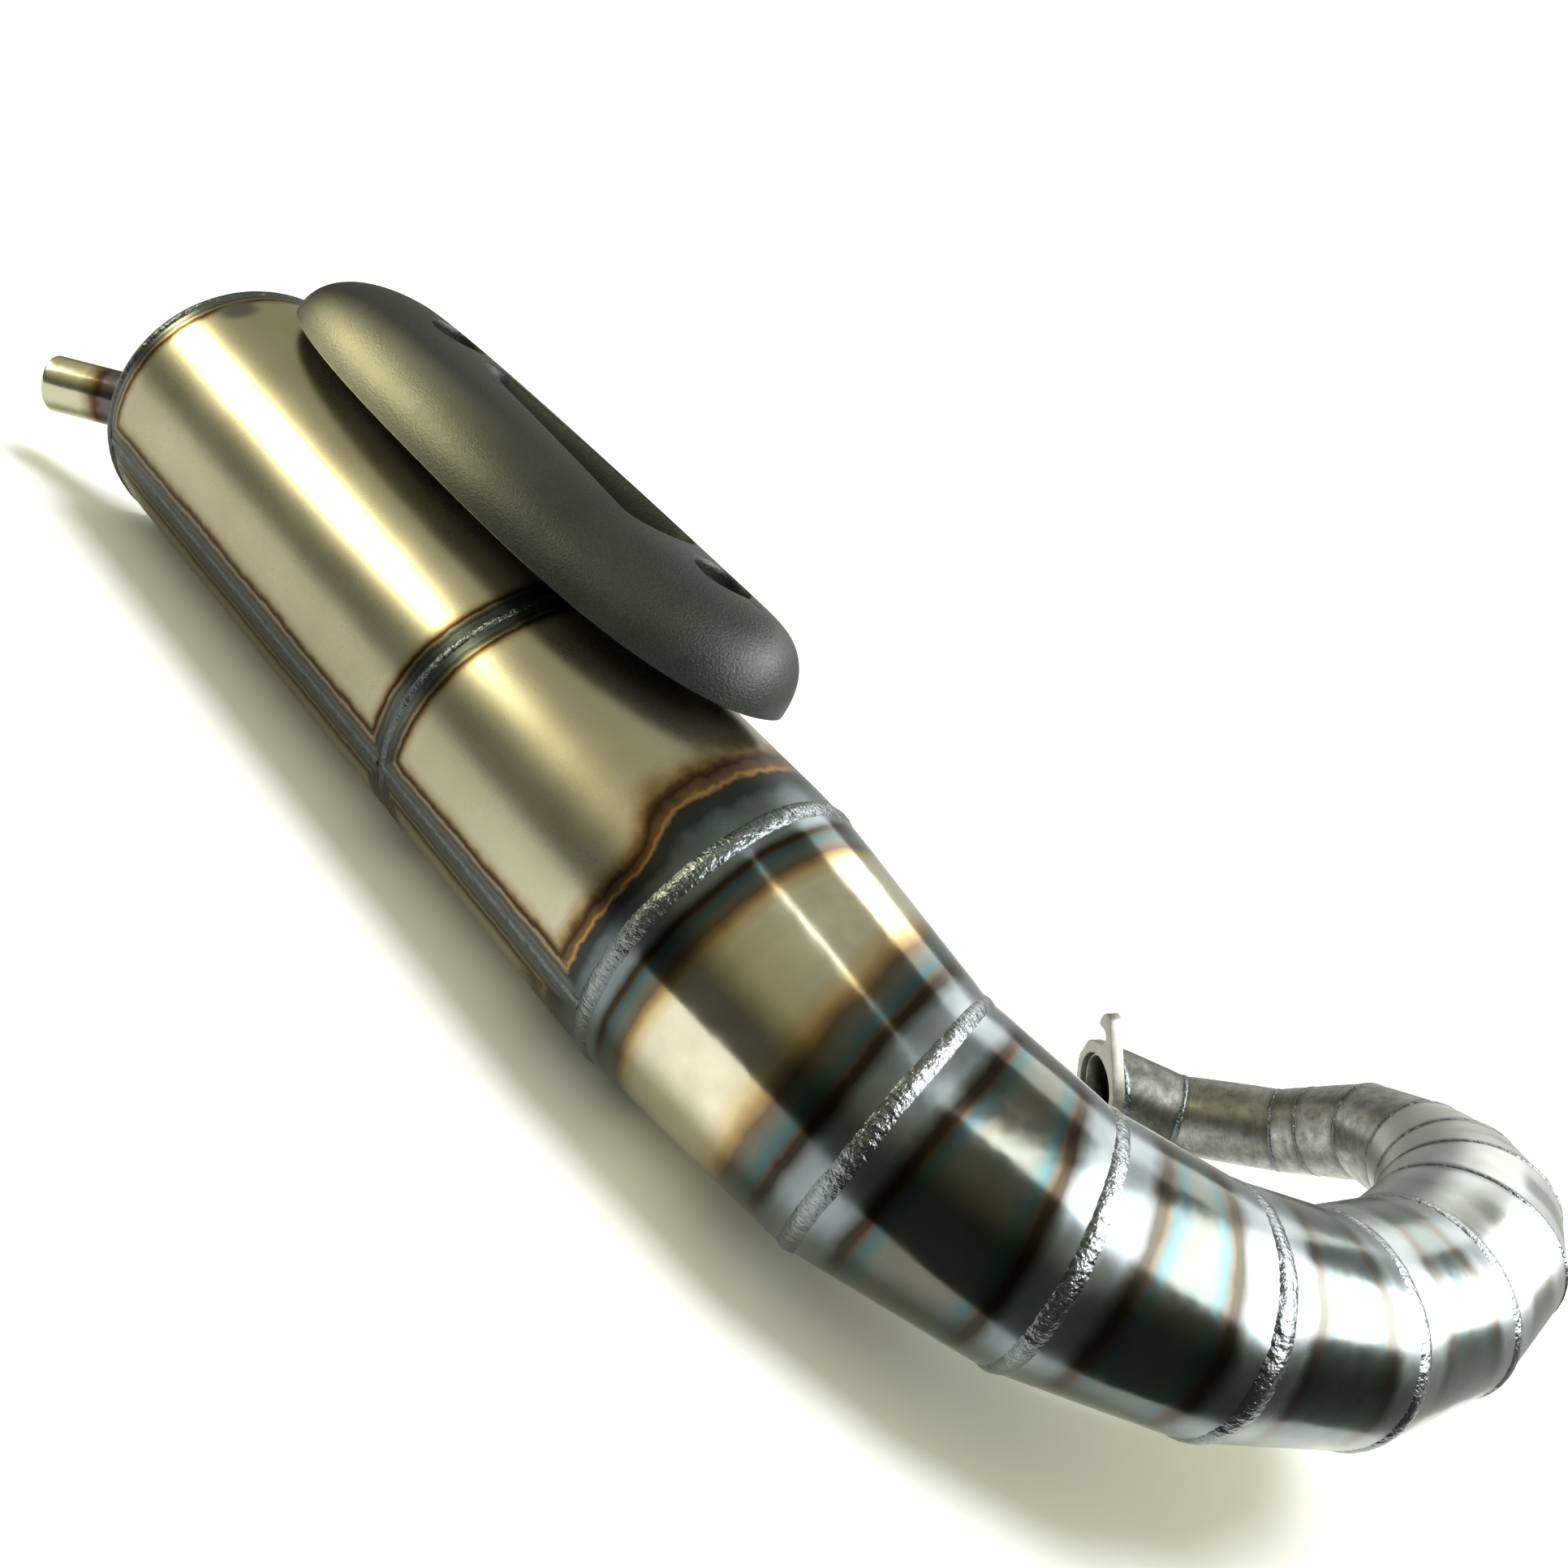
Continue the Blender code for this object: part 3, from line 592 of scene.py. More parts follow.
def end_cap():
    """A dished cap that turns in from the rear weld."""
    steps = 14
    flat = CAP_RADIUS * CAP_FLAT
    profile = []
    for i in range(steps + 1):
        turn = math.pi / 2 * i / steps
        reach = CAP_FLAT + (1 - CAP_FLAT) * math.cos(turn)
        profile.append((CAP_FACE - CAP_DEPTH * math.sin(turn), CAP_RADIUS * reach))
    for share in (0.85, 0.6, 0.35, 0.1, 0.004):
        profile.append((CAP_FACE - CAP_DEPTH - 0.35 * (1 - share), flat * share))
    profile += [(CAP_FACE - 3.5, 0.2), (CAP_FACE - 3.5, 36.0), (CAP_FACE, 45.5)]
    heat = [0.3 + 0.13 * max(0.0, CAP_FACE - along) + (48 - radius) / 7.0 for along, radius in profile]
    count = 160
    loops = [ring(np.array([a, 0, 0]), X_AXIS, Z_AXIS, r, count) for a, r in profile]
    points = np.concatenate(loops)
    tail = np.linalg.norm(np.cross(points - TAIL_ROOT, direction(*TAIL_COURSE)), axis=1)
    values = np.minimum(np.repeat(heat, count), (tail - 6.0) / 7.0)
    attributes = {"haz": values, "patch": 0 * values, "front": 0 * values, "mid": 0 * values}
    faces = sheet_faces(len(profile), count, True)
    piece("end_cap", points, faces, "barrel_steel", ("rear_end_cap",), attributes)


# ---------------------------------------------------------------- welds


def bead(name, replaces, path, outward, across, half_width, height, pitch, seed, closed=True,
         shine=1.0, sag=0.12):
    """Weld metal laid on a path. Each drop overlaps the last, so the crown carries crescent ripples."""
    count = len(path)
    lengths = np.linalg.norm(np.roll(path, -1, 0) - path, axis=1)
    s = np.concatenate([[0], np.cumsum(lengths)[:-1]])
    total = lengths.sum() if closed else s[-1]
    turn = 2 * math.pi * s / total
    drops = max(1, round(total / pitch))
    phase = s / total * drops
    size = np.random.default_rng(seed).normal(0, 1, drops + 1)[np.floor(phase).astype(int) % drops]
    calm = 0.25 + 0.75 * np.abs(waves(turn, seed + 3, 7, 2))
    sway = 0.10 * half_width * waves(turn, seed + 1, 9, 3)
    width = half_width * (1 + 0.02 * size)
    loops = []
    crests = []
    for v in (-1.0, -0.84, -0.66, -0.46, -0.23, 0.0, 0.23, 0.46, 0.66, 0.84, 1.0):
        dome = 1 - v * v
        swell = phase + 0.42 * dome
        place = swell - np.floor(swell)
        ripple = 0.5 * np.cos(2 * math.pi * (place - 0.12 * np.sin(2 * math.pi * place))) * calm
        knob = 0.10 * waves(turn, seed + 2 + int(50 * abs(v)), 12, 9)
        lift = height * dome**1.4 * (1 + 0.06 * size + knob) + 0.06 * ripple * dome
        lift -= sag * v * v
        loops.append(path + outward * lift[:, None] + across * (sway + v * width)[:, None])
        crests.append(np.full(count, 1 - abs(v) ** 1.5) * (0.6 + 0.6 * ripple))
    loops.append(path - outward * 0.9)
    crests.append(np.zeros(count))
    faces = sheet_faces(len(loops), count, True, closed)
    if not closed:
        faces.append([i * count for i in range(len(loops))])
        faces.append([i * count + count - 1 for i in range(len(loops))][::-1])
    attributes = {"crest": np.clip(np.concatenate(crests), 0, 1) * shine}
    piece(name, np.concatenate(loops), faces, "weld_bead", replaces, attributes, sharp=60)


def straight_bead(name, replaces, xs, root, outward, across, half_width, height, pitch, seed, shine=1.0):
    """A bead along X, through a point of the YZ plane."""
    path = xs[:, None] * X_AXIS + root
    outward = np.tile(outward, (len(xs), 1))
    across = np.tile(across, (len(xs), 1))
    bead(name, replaces, path, outward, across, half_width, height, pitch, seed, False, shine)


class Joint:
    """A welded joint of the header: its middle, its cut plane and its elliptic section."""

    def __init__(self, centre, before, course, normal, radius, start):
        self.centre = centre
        self.normal = normal
        self.radius = radius
        turn = np.cross(before, course)
        flat = np.linalg.norm(turn) < 1e-6
        self.across = unit(np.cross(start, normal)) if flat else unit(turn)
        self.stretch = 1 / max(float(before @ normal), 0.5)
        self.start = unit(start - (start @ normal) * normal)

    def loop(self, radius, count):
        along = np.cross(self.normal, self.across)
        spokes = ring(np.zeros(3), self.normal, self.start, 1.0, count)
        wide = (spokes @ along)[:, None] * self.stretch
        return self.centre + radius * ((spokes @ self.across)[:, None] * self.across + wide * along)


def header_joints():
    courses = [direction(heading, climb) for _, heading, climb, _ in HEADER]
    start = Z_AXIS
    centre = np.zeros(3)
    radius = BARREL_RADIUS
    before = X_AXIS
    joints = []
    for course, (length, _, _, end_radius) in zip(courses, HEADER):
        normal = unit(before + course) if joints else X_AXIS
        joint = Joint(centre, before, course, normal, radius, start)
        joints.append(joint)
        start = joint.start
        centre = centre + length * course
        radius = end_radius
        before = course
    face = direction(FLANGE_HEADING, FLANGE_CLIMB)
    joints.append(Joint(centre, before, face, face, radius, start))
    return joints, courses


JOINTS, COURSES = header_joints()

# How quickly the tints follow each other away from the near and the far weld of each cone
TINT_PACE = (
    (1.55, 0.98), (0.90, 0.92), (0.80, 0.84), (0.86, 0.84), (0.88, 0.9), (0.9, 0.9), *[(1.0, 1.0)] * 8,
)
# How far each polished cone is wiped clean of its tints
PALE = (0.0, 0.0, 0.04, 0.13, 0.24, 0.50, 0.72, 0.85, 1.0)
# The furthest tint that each cone's middle reaches: the short cones never cool to bare metal
TINT_CAP = (99.0, 18.6, 17.4, 15.9, 15.7, *[15.6] * 4, *[20.0] * 5)


def header_cone(i):
    """A thin cone between two cut planes, drawn in a little beside its welds."""
    columns = 160
    near, far = JOINTS[i], JOINTS[i + 1]
    a, b = near.loop(near.radius, columns), far.loop(far.radius, columns)
    rows = max(10, int(HEADER[i][0] / 1.2))
    t = np.linspace(0, 1, rows)[:, None]
    points = a * (1 - t[..., None]) + b * t[..., None]
    out = points - (near.centre * (1 - t) + far.centre * t)[:, None]
    out -= (out @ COURSES[i])[..., None] * COURSES[i]
    out = unit(out)
    length = np.linalg.norm(b - a, axis=1)[None, :]
    from_near = t * length
    from_far = (1 - t) * length
    angle = np.linspace(0, 2 * math.pi, columns, endpoint=False)[None, :]
    pull = weld_pull(from_near, 0.14, 5.0) + weld_pull(from_far, 0.14, 5.0)
    dent = 0.10 * waves(angle + t * 0.9, 40 + i, 4, 2) * np.sin(math.pi * t)
    points = points + out * (pull + dent)[..., None]
    pace_near, pace_far = TINT_PACE[i]
    heat = np.minimum(
        from_near * pace_near + 0.6 * waves(angle, 60 + i, 5),
        from_far * pace_far + 0.6 * waves(angle, 61 + i, 5),
    )
    heat = np.minimum(heat, TINT_CAP[i] + 0.8 * waves(angle * 2 + 5 * t, 80 + i, 4))
    inside = [joint.loop(joint.radius - SHEET, columns) for joint in (far, near)]
    points = np.concatenate([points.reshape(-1, 3), *inside])
    attributes = {
        "tint": np.concatenate([heat.ravel(), np.zeros(2 * columns)]),
        "along": np.concatenate([from_near.ravel(), length[0], np.zeros(columns)]),
    }
    if i < DULL_FROM:
        attributes["pale"] = np.full(len(points), PALE[i])
    else:
        # Only the last tube, next to the flange, is darkened.
        attributes["darkening"] = np.full(len(points), 1.0 if i == len(HEADER) - 1 else 0.0)
    slot = "header_steel" if i < DULL_SLOT_FROM else "return_steel"
    faces = sheet_faces(rows + 2, columns, True)
    made = piece(f"header_tube_{i + 1}", points, faces, slot, (f"header_cone_{i + 1}",), attributes)
    if i < DULL_FROM:
        made.data.materials[0] = MATERIALS["header_steel"]


def header_welds():
    """Broad beads on the large cones, narrow ones on the small cones, round ones at the flange's tube."""
    for i, joint in enumerate(JOINTS):
        if i < 3:
            half_width, height, sag, shine = 3.1, 0.50, 0.42, 1.0
        elif i < 6:
            half_width, height, sag, shine = 3.1, 0.42, 0.42, 1.0
        elif i < 13:
            half_width, height, sag, shine = 1.2, 0.22, 0.25, 0.25
        else:
            half_width, height, sag, shine = 1.7, 0.45, 0.25, 0.25
        count = int(2 * math.pi * joint.radius / BEAD_STEP)
        path = joint.loop(joint.radius - 0.1, count)
        outward = unit(path - joint.centre)
        across = np.tile(joint.normal, (count, 1))
        bead(f"header_bead_{i}", (f"weld_{i}",), path, outward, across, half_width, height, 1.35, 100 + i,
             shine=shine, sag=sag)


def barrel_welds():
    count = 860
    theta = np.linspace(-math.pi, math.pi, count, endpoint=False)
    out = np.stack([0 * theta, -np.cos(theta), np.sin(theta)], axis=-1)
    across = np.tile(X_AXIS, (count, 1))
    for name, line, replaces, height in (
        ("mid_bead", mid_weld_line(theta), "mid_weld", 0.26),
        ("end_cap_bead", np.full(count, BARREL_REAR - 0.9), "end_cap_weld", 0.42),
    ):
        path = out * (BARREL_RADIUS - 0.22) + line[:, None] * X_AXIS
        bead(name, (replaces,), path, out, across, 1.5, height, 1.3, 140 + len(name), shine=0.2)
    side = np.array([0, -math.cos(SEAM), math.sin(SEAM)])
    tangent = np.array([0, math.sin(SEAM), math.cos(SEAM)])
    for name, low, high, replaces in (
        ("rear_seam_bead", -269.0, -99.0, "rear_seam_weld"),
        ("front_seam_bead", -96.0, -2.0, "front_seam_weld"),
    ):
        straight_bead(name, (replaces,), np.arange(low, high, BEAD_STEP), side * (BARREL_RADIUS - 0.2),
                      side, tangent, 1.7, 0.30, 1.5, 150 + len(name), 0.35)


# ---------------------------------------------------------------- tail pipe


def tail_pipe():
    course = direction(*TAIL_COURSE)
    start = unit(np.cross(Z_AXIS, course))
    inner = TAIL_RADIUS - TAIL_WALL
    root = -8.0
    profile = [(root, TAIL_RADIUS)]
    profile += [(along, TAIL_RADIUS) for along in np.arange(-6.0, TAIL_LENGTH - 0.6, 1.5)]
    profile += [
        (TAIL_LENGTH - 0.35, TAIL_RADIUS - 0.05),
        (TAIL_LENGTH, TAIL_RADIUS - 0.35),
        (TAIL_LENGTH, inner + 0.3),
        (TAIL_LENGTH - 0.3, inner),
        (root, inner),
    ]
    attributes = {"tint": [max(0.0, along - 9.0) for along, _ in profile]}
    lathe("tail_tube", TAIL_ROOT, course, start, profile, "tail_steel", ("tail_pipe",), 96, attributes)
    # The bead follows the line where the tube meets the cap's flat face
    reach = (CAP_FACE - 5.4 - TAIL_ROOT[0]) / course[0]
    spokes = ring(np.zeros(3), course, start, TAIL_RADIUS - 0.1, 190)
    climb = (-spokes[:, 0] / course[0])[:, None]
    path = TAIL_ROOT + reach * course + spokes + climb * course
    outward = unit(unit(spokes) * 0.65 - 0.75 * X_AXIS)
    across = unit(np.cross(np.roll(path, -1, 0) - path, outward))
    bead("tail_bead", ("tail_weld",), path, outward, across, 2.0, 1.1, 1.4, 171)


# ---------------------------------------------------------------- flange


def flange_frame():
    """Side, ear and outward axes of the flange and the middle of its back face."""
    out = direction(FLANGE_HEADING, FLANGE_CLIMB)
    level_up = unit(Z_AXIS - (Z_AXIS @ out) * out)
    ear = math.cos(FLANGE_ROLL) * level_up + math.sin(FLANGE_ROLL) * np.cross(out, level_up)
    return np.cross(ear, out), ear, out, JOINTS[-1].centre + WELD_SLOT * out


def arc(centre, radius, low, high, steps):
    """Points of an arc in a plane, by its angles in degrees."""
    angles = np.radians(np.linspace(low, high, steps))
    return [(centre[0] + radius * math.cos(a), centre[1] + radius * math.sin(a)) for a in angles]


def flange_outline():
    """Half of the flange, from its side round one ear and its stud slot, then that half turned about."""
    upper = [(16.4, 0.0), (15.9, 6.0), (15.2, 12.0), (14.4, 20.0)]
    upper += arc((10.4, 26.3), 3.5, 8, 118, 9)
    upper += [(6.9, 28.1), (5.0, 26.0), (4.5, 24.6)]
    upper += arc((6.5, 20.6), 3.3, 88, -88, 14)
    upper += [(1.0, 17.3), (-4.2, 17.1), (-5.6, 16.6), (-12.9, 10.2), (-14.6, 7.6)]
    return upper + [(-x, -y) for x, y in upper]


def applied(made):
    """Replaces the object's mesh with its modifiers' result."""
    mesh = bpy.data.meshes.new_from_object(made.evaluated_get(bpy.context.evaluated_depsgraph_get()))
    made.modifiers.clear()
    made.data = mesh
    return made


def prism(name, loop, low, high, place):
    """A straight-sided solid on an outline, placed by (side, up, out, origin)."""
    side, up, out, origin = place
    count = len(loop)
    points = [origin + x * side + y * up + z * out for z in (low, high) for x, y in loop]
    faces = [tuple(range(count))[::-1], tuple(range(count, 2 * count))]
    faces += [(j, (j + 1) % count, count + (j + 1) % count, count + j) for j in range(count)]
    made = mesh_object(name, points, faces)
    face_outward(made.data)
    return made


def cut(made, cutters):
    for cutter in cutters:
        step = made.modifiers.new("cut", "BOOLEAN")
        step.object = cutter
        step.solver = "EXACT"


def remove(objects):
    for item in objects:
        bpy.data.objects.remove(item, do_unlink=True)


def plate(name, outline, thickness, place, bores, replaces, bevel=0.35):
    """A flat plate with small bevels, drilled through."""
    made = prism(name, outline, 0, thickness, place)
    cutters = [
        prism("bore", arc(centre, radius, 0, 355, 72), -5, thickness + 5, place)
        for centre, radius in bores
    ]
    cut(made, cutters)
    step = made.modifiers.new("edges", "BEVEL")
    step.width = bevel * MM
    step.segments = 2
    step.limit_method = "ANGLE"
    step.angle_limit = math.radians(50)
    applied(made)
    remove(cutters)
    settle(made, "flange_steel", replaces, sharp=30)


def flange():
    side, ear, out, back = flange_frame()
    place = (side, ear, out, back)
    plate("flange_plate", flange_outline(), 5.0, place, [((0, 0), 12.8)], ("inlet_flange",))
    profile = [(-3.0, 12.5), (2.6, 12.5), (3.0, 12.2), (3.0, 11.6), (2.6, 11.3), (-3.0, 11.3)]
    attributes = {"tint": [4.0] * len(profile), "along": [along for along, _ in profile]}
    lathe("inlet_liner", back, out, side, profile, "return_steel", ("inlet_spigot",), 96, attributes)


# ---------------------------------------------------------------- heat guard

GUARD_CENTRE = -143.0
GUARD_HALF_LENGTH = 114.0
GUARD_HALF_WIDTH = 39.0
GUARD_RIM = 50.0
GUARD_CREST = 26.0
TAPER_REAR = 50.0
TAPER_FRONT = 22.0
NOSE_LIFT = 4.0
PLAN_POWER = 2.5
DOME_POWER = 2.2
TROUGH_ENDS = ((-176.0, 6.0), (-98.0, 14.0))  # centre along X and half-width: rear, front
TROUGH_FLOORS = ((-182.0, 71.5), (-84.0, 65.0))  # along X and height: rear, front
STATIONS = {"front": -66.0, "rear": -200.0}
WELL_RADIUS = 9.3
SEAT = 60.0
GUARD_SHEET = 2.2
CLEARANCE = 3.4  # radius of the holes that the screws pass through
SCREW_HEAD = 61.8  # height of the underside of the heads
SOCKET = 2.0  # from the middle of the hexagonal socket to its flats


def guard_row(share, turn):
    """Plan position and height of the plain dome at a share of the way from rim to crest."""
    taper = (TAPER_FRONT + TAPER_REAR) / 2
    centre = GUARD_CENTRE + share * (TAPER_REAR - TAPER_FRONT) / 2
    power = 2 / PLAN_POWER
    along = np.sign(np.cos(turn)) * np.abs(np.cos(turn)) ** power
    across = np.sign(np.sin(turn)) * np.abs(np.sin(turn)) ** power
    x = centre + (GUARD_HALF_LENGTH - share * taper) * along
    y = GUARD_HALF_WIDTH * (1 - share) * across
    rise = (1 - (1 - share) ** DOME_POWER) ** (1 / DOME_POWER)
    lift = NOSE_LIFT * np.maximum(0, along) ** 4 * (1 - share)
    return x, y, GUARD_RIM + GUARD_CREST * rise + lift


def trough(x, y, z):
    """Sinks the crest into a trough that deepens and widens to the front, with rolled lips. How far each
    point is sunk is also returned, as the mask for painted shade.
    """
    (rear, rear_half), (front, front_half) = TROUGH_ENDS
    t = np.clip((x - rear) / (front - rear), 0, 1)
    half = rear_half + (front_half - rear_half) * t
    outside = np.hypot(x - (rear + t * (front - rear)), y) - half
    (low_x, low_z), (high_x, high_z) = TROUGH_FLOORS
    floor = low_z + (high_z - low_z) * np.clip((x - low_x) / (high_x - low_x), 0, 1)
    lip = np.where(t >= 1, 2.0, 2.6)
    sunk = smooth_step(0.5, -lip, outside)
    return z + (np.minimum(floor, z) - z) * sunk, sunk


def guard_shell():
    columns = 420
    turn = 2 * math.pi * (np.arange(columns) + 0.5) / columns
    x, y, height = guard_row(0.0, turn)
    rows = []
    for inset, lift in ((1.5, 0.2), (0.9, 0.0), (0.35, 0.15)):
        scale_x = (GUARD_HALF_LENGTH - inset) / GUARD_HALF_LENGTH
        scale_y = (GUARD_HALF_WIDTH - inset) / GUARD_HALF_WIDTH
        rows.append((GUARD_CENTRE + (x - GUARD_CENTRE) * scale_x, y * scale_y, height + lift))
    rows.append((x, y, height + 0.6))
    # Painted shade mask: zero on the rim rows, then how far each row is sunk into the trough.
    recess_shade = [np.zeros(columns)] * len(rows)
    for share in (np.arange(1, 131) / 131.0) ** 1.35:
        x, y, z = guard_row(share, turn)
        z, sunk = trough(x, y, z)
        rows.append((x, y, z))
        recess_shade.append(sunk)
    points = np.concatenate([np.stack(row, axis=-1) for row in rows])
    faces = sheet_faces(len(rows), columns)
    last = (len(rows) - 1) * columns
    for j in range(columns // 2 - 1):
        faces.append((last + j, last + j + 1, last + columns - 2 - j, last + columns - 1 - j))
    # Painted highlight mask: the guard's rear flank, on the -Y side.
    rear_flank_highlight = smooth_step(-100.0, -225.0, points[:, 0]) * smooth_step(-20.0, -36.0, points[:, 1])
    attributes = {"recess_shade": np.concatenate(recess_shade), "painted_highlight": rear_flank_highlight}
    made = mesh_object("guard_shell", points, faces, attributes)
    bm = bmesh.new()
    bm.from_mesh(made.data)
    bmesh.ops.remove_doubles(bm, verts=bm.verts, dist=0.02 * MM)
    bmesh.ops.recalc_face_normals(bm, faces=bm.faces)
    top = max(bm.faces, key=lambda face: face.calc_center_median().z)
    if top.normal.z < 0:
        bmesh.ops.reverse_faces(bm, faces=bm.faces)
    bm.to_mesh(made.data)
    bm.free()
    wall = made.modifiers.new("wall", "SOLIDIFY")
    wall.thickness = GUARD_SHEET * MM
    wall.offset = -1
    cutters = [well_cutter(station) for station in STATIONS.values()]
    cut(made, cutters)
    applied(made)
    remove(cutters)
    settle(made, "guard_coating", ("heat_guard",), sharp=38)


def well_cutter(station):
    """A round cutter that flares at the crest, which leaves the well a rolled lip."""
    count = 96
    profile = [
        (SEAT - 2, WELL_RADIUS), (74.6, WELL_RADIUS), (75.3, WELL_RADIUS + 0.15),
        (75.8, WELL_RADIUS + 0.5), (76.2, WELL_RADIUS + 1.2), (79.0, WELL_RADIUS + 6.0),
    ]
    loops = [ring(np.array([station, 0, z]), Z_AXIS, X_AXIS, r, count) for z, r in profile]
    faces = sheet_faces(len(profile), count)
    faces.append(tuple(range(count))[::-1])
    faces.append(tuple(range((len(profile) - 1) * count, len(profile) * count)))
    made = mesh_object("cutter", np.concatenate(loops), faces)
    face_outward(made.data)
    return made


def turned(name, station, profile, slot, replaces=(), **extra):
    """A turned piece on a fixing's upright axis, from (height, radius) points."""
    foot = np.array([station, 0, 0.0])
    lathe(name, foot, Z_AXIS, X_AXIS, profile, slot, replaces, **extra)


def guard_wells():
    """The cups under the guard's two holes, each with a seat and a clearance hole."""
    outer = WELL_RADIUS + 1.6
    profile = [
        (74.2, WELL_RADIUS), (SEAT + 0.8, WELL_RADIUS), (SEAT + 0.2, WELL_RADIUS - 0.3),
        (SEAT, WELL_RADIUS - 1.0), (SEAT, 3.7), (SEAT - 0.3, CLEARANCE), (SEAT - 3.0, CLEARANCE),
        (SEAT - 3.0, outer - 1.0), (SEAT - 2.0, outer), (73.0, outer),
    ]
    # Painted shade: the cups are darkened almost to black, a little less at their top edge.
    attributes = {"recess_shade": [0.6] + [1.0] * (len(profile) - 1)}
    for side, station in STATIONS.items():
        turned(f"guard_cup_{side}", station, profile, "guard_coating", count=72, attributes=attributes)


def fixings():
    low = BARREL_RADIUS - 0.2
    stack = {
        "boss": [(low, 7.5), (50.9, 7.5), (51.6, 6.8), (51.6, 3.8), (51.2, CLEARANCE), (low, CLEARANCE)],
        "spacer": [(52.0, 5.7), (52.3, 6.0), (56.4, 6.0), (56.7, 5.7), (56.7, 3.5), (52.0, 3.5)],
        "washer": [(60.3, 7.9), (60.5, 8.0), (61.2, 8.0), (61.5, 7.7), (61.5, 3.6), (60.3, CLEARANCE)],
    }
    for side, station in STATIONS.items():
        for name, profile in stack.items():
            turned(f"{name}_{side}", station, profile, "fastener_steel", (f"guard_{name}_{side}",))
        screw(side, station)


def screw(side, station):
    """A button-head screw. The socket is a six-sided ring inside the head's round ones."""
    foot = np.array([station, 0, 0.0])
    outside = [(48.6, 0.02), (48.6, 2.6), (48.9, 2.9), (SCREW_HEAD, 2.9)]
    outside += [
        (SCREW_HEAD + rise, radius)
        for rise, radius in (
            (0, 5.0), (0.3, 5.2), (1.2, 5.15), (2.2, 4.7), (2.9, 4.0), (3.3, 3.2), (3.4, 2.75),
        )
    ]
    count = 72
    loops = [ring(foot + z * Z_AXIS, Z_AXIS, X_AXIS, r, count) for z, r in outside]
    angle = np.linspace(0, 2 * math.pi, count, endpoint=False)
    hexagon = SOCKET / np.cos((angle % (math.pi / 3)) - math.pi / 6)
    spokes = np.stack([np.cos(angle), np.sin(angle), 0 * angle], axis=-1) * hexagon[:, None]
    for rise, scale in ((3.3, 1.06), (3.1, 1.0), (1.7, 1.0), (1.4, 0.02)):
        loops.append(foot + (SCREW_HEAD + rise) * Z_AXIS + spokes * scale)
    points = np.concatenate(loops)
    faces = sheet_faces(len(loops), count)
    piece(f"screw_{side}", points, faces, "fastener_steel", (f"guard_screw_{side}",), sharp=30)


# ---------------------------------------------------------------- hanger and insides


def hanger():
    centre, half, corner = -55.0, 21.0, 10.0
    root, tip = 47.6, 78.0
    under, top = -12.0, -8.0
    outline = [(centre - half - 2.0, root), (centre + half + 2.0, root), (centre + half, root + 3.0)]
    outline += arc((centre + half - corner, tip - corner), corner, 0, 90, 12)
    outline += arc((centre - half + corner, tip - corner), corner, 90, 180, 12)
    outline += [(centre - half, root + 3.0)]
    place = (X_AXIS, Y_AXIS, Z_AXIS, np.array([0, 0, under]))
    bores = [((centre, tip - 13.0), 4.3)]
    plate("hanger_plate", outline, top - under, place, bores, ("hanger_bracket",), 0.4)
    xs = np.arange(centre - half, centre + half, BEAD_STEP)
    for name, z, tilt in (("hanger_bead_top", top, 1), ("hanger_bead_under", under, -1)):
        root_point = np.array([0, math.sqrt(BARREL_RADIUS**2 - z * z), z])
        outward = unit(np.array([0, 0.6, 0.8 * tilt]))
        across = unit(np.array([0, -0.8 * tilt, 0.6]))
        straight_bead(name, (), xs, root_point, outward, across, 1.8, 0.9, 1.4, 180 + len(name))


def carried_over():
    """The pieces inside the barrel keep their CAD shape."""
    for name in ("reverse_cone", "stinger_tube", "rear_bulkhead"):
        mesh = frame["nodes"][name].data
        mesh.materials.clear()
        mesh.materials.append(MATERIALS["inner_steel"])


# ---------------------------------------------------------------- studio

FLOOR = -48.9


def studio_object(name, points, material):
    """A flat polygon of the studio."""
    made = mesh_object(name, points, [range(len(points))])
    made.data.materials.append(material)
    return made


def floor():
    """The table. Only the part near the exhaust shows in the metal, as the rest of the room is dark."""
    far = 6000.0
    wide = [(-far, -far), (far, -far), (far, far), (-far, far)]
    plain = floor_material("pale_table", plain_floor)
    table = studio_object("table", [(x, y, FLOOR - 0.05) for x, y in wide], plain)
    table.visible_glossy = False
    near = [
        (-1500, -330), (-420, -235), (-100, -200), (73, -173), (133, -51), (149, -35), (183, 2),
        (219, 18), (300, 106), (420, 900), (-1500, 900),
    ]
    shaded = floor_material("pale_table_in_mirrors", mirrored_floor)
    mirrored = studio_object("table_in_mirrors", [(x, y, FLOOR - 0.04) for x, y in near], shaded)
    mirrored.visible_camera = mirrored.visible_diffuse = mirrored.visible_shadow = False


def lamp(name, heading, climb, distance, size, power, colour, target, spin):
    """A rectangular soft light at a bearing from a target, in metres, seen only in mirrors."""
    light = bpy.data.lights.new(name, "AREA")
    light.shape = "RECTANGLE"
    light.size, light.size_y = size
    light.energy = power
    light.color = colour
    made = in_scene(name, light)
    course = direction(heading, climb)
    place = Matrix.Translation(placed(np.array(target, float) + distance / MM * course))
    turn = Vector(course).to_track_quat("Z", "Y").to_matrix().to_4x4()
    made.matrix_world = place @ turn @ Matrix.Rotation(math.radians(spin), 4, "Z")
    made.visible_diffuse = False


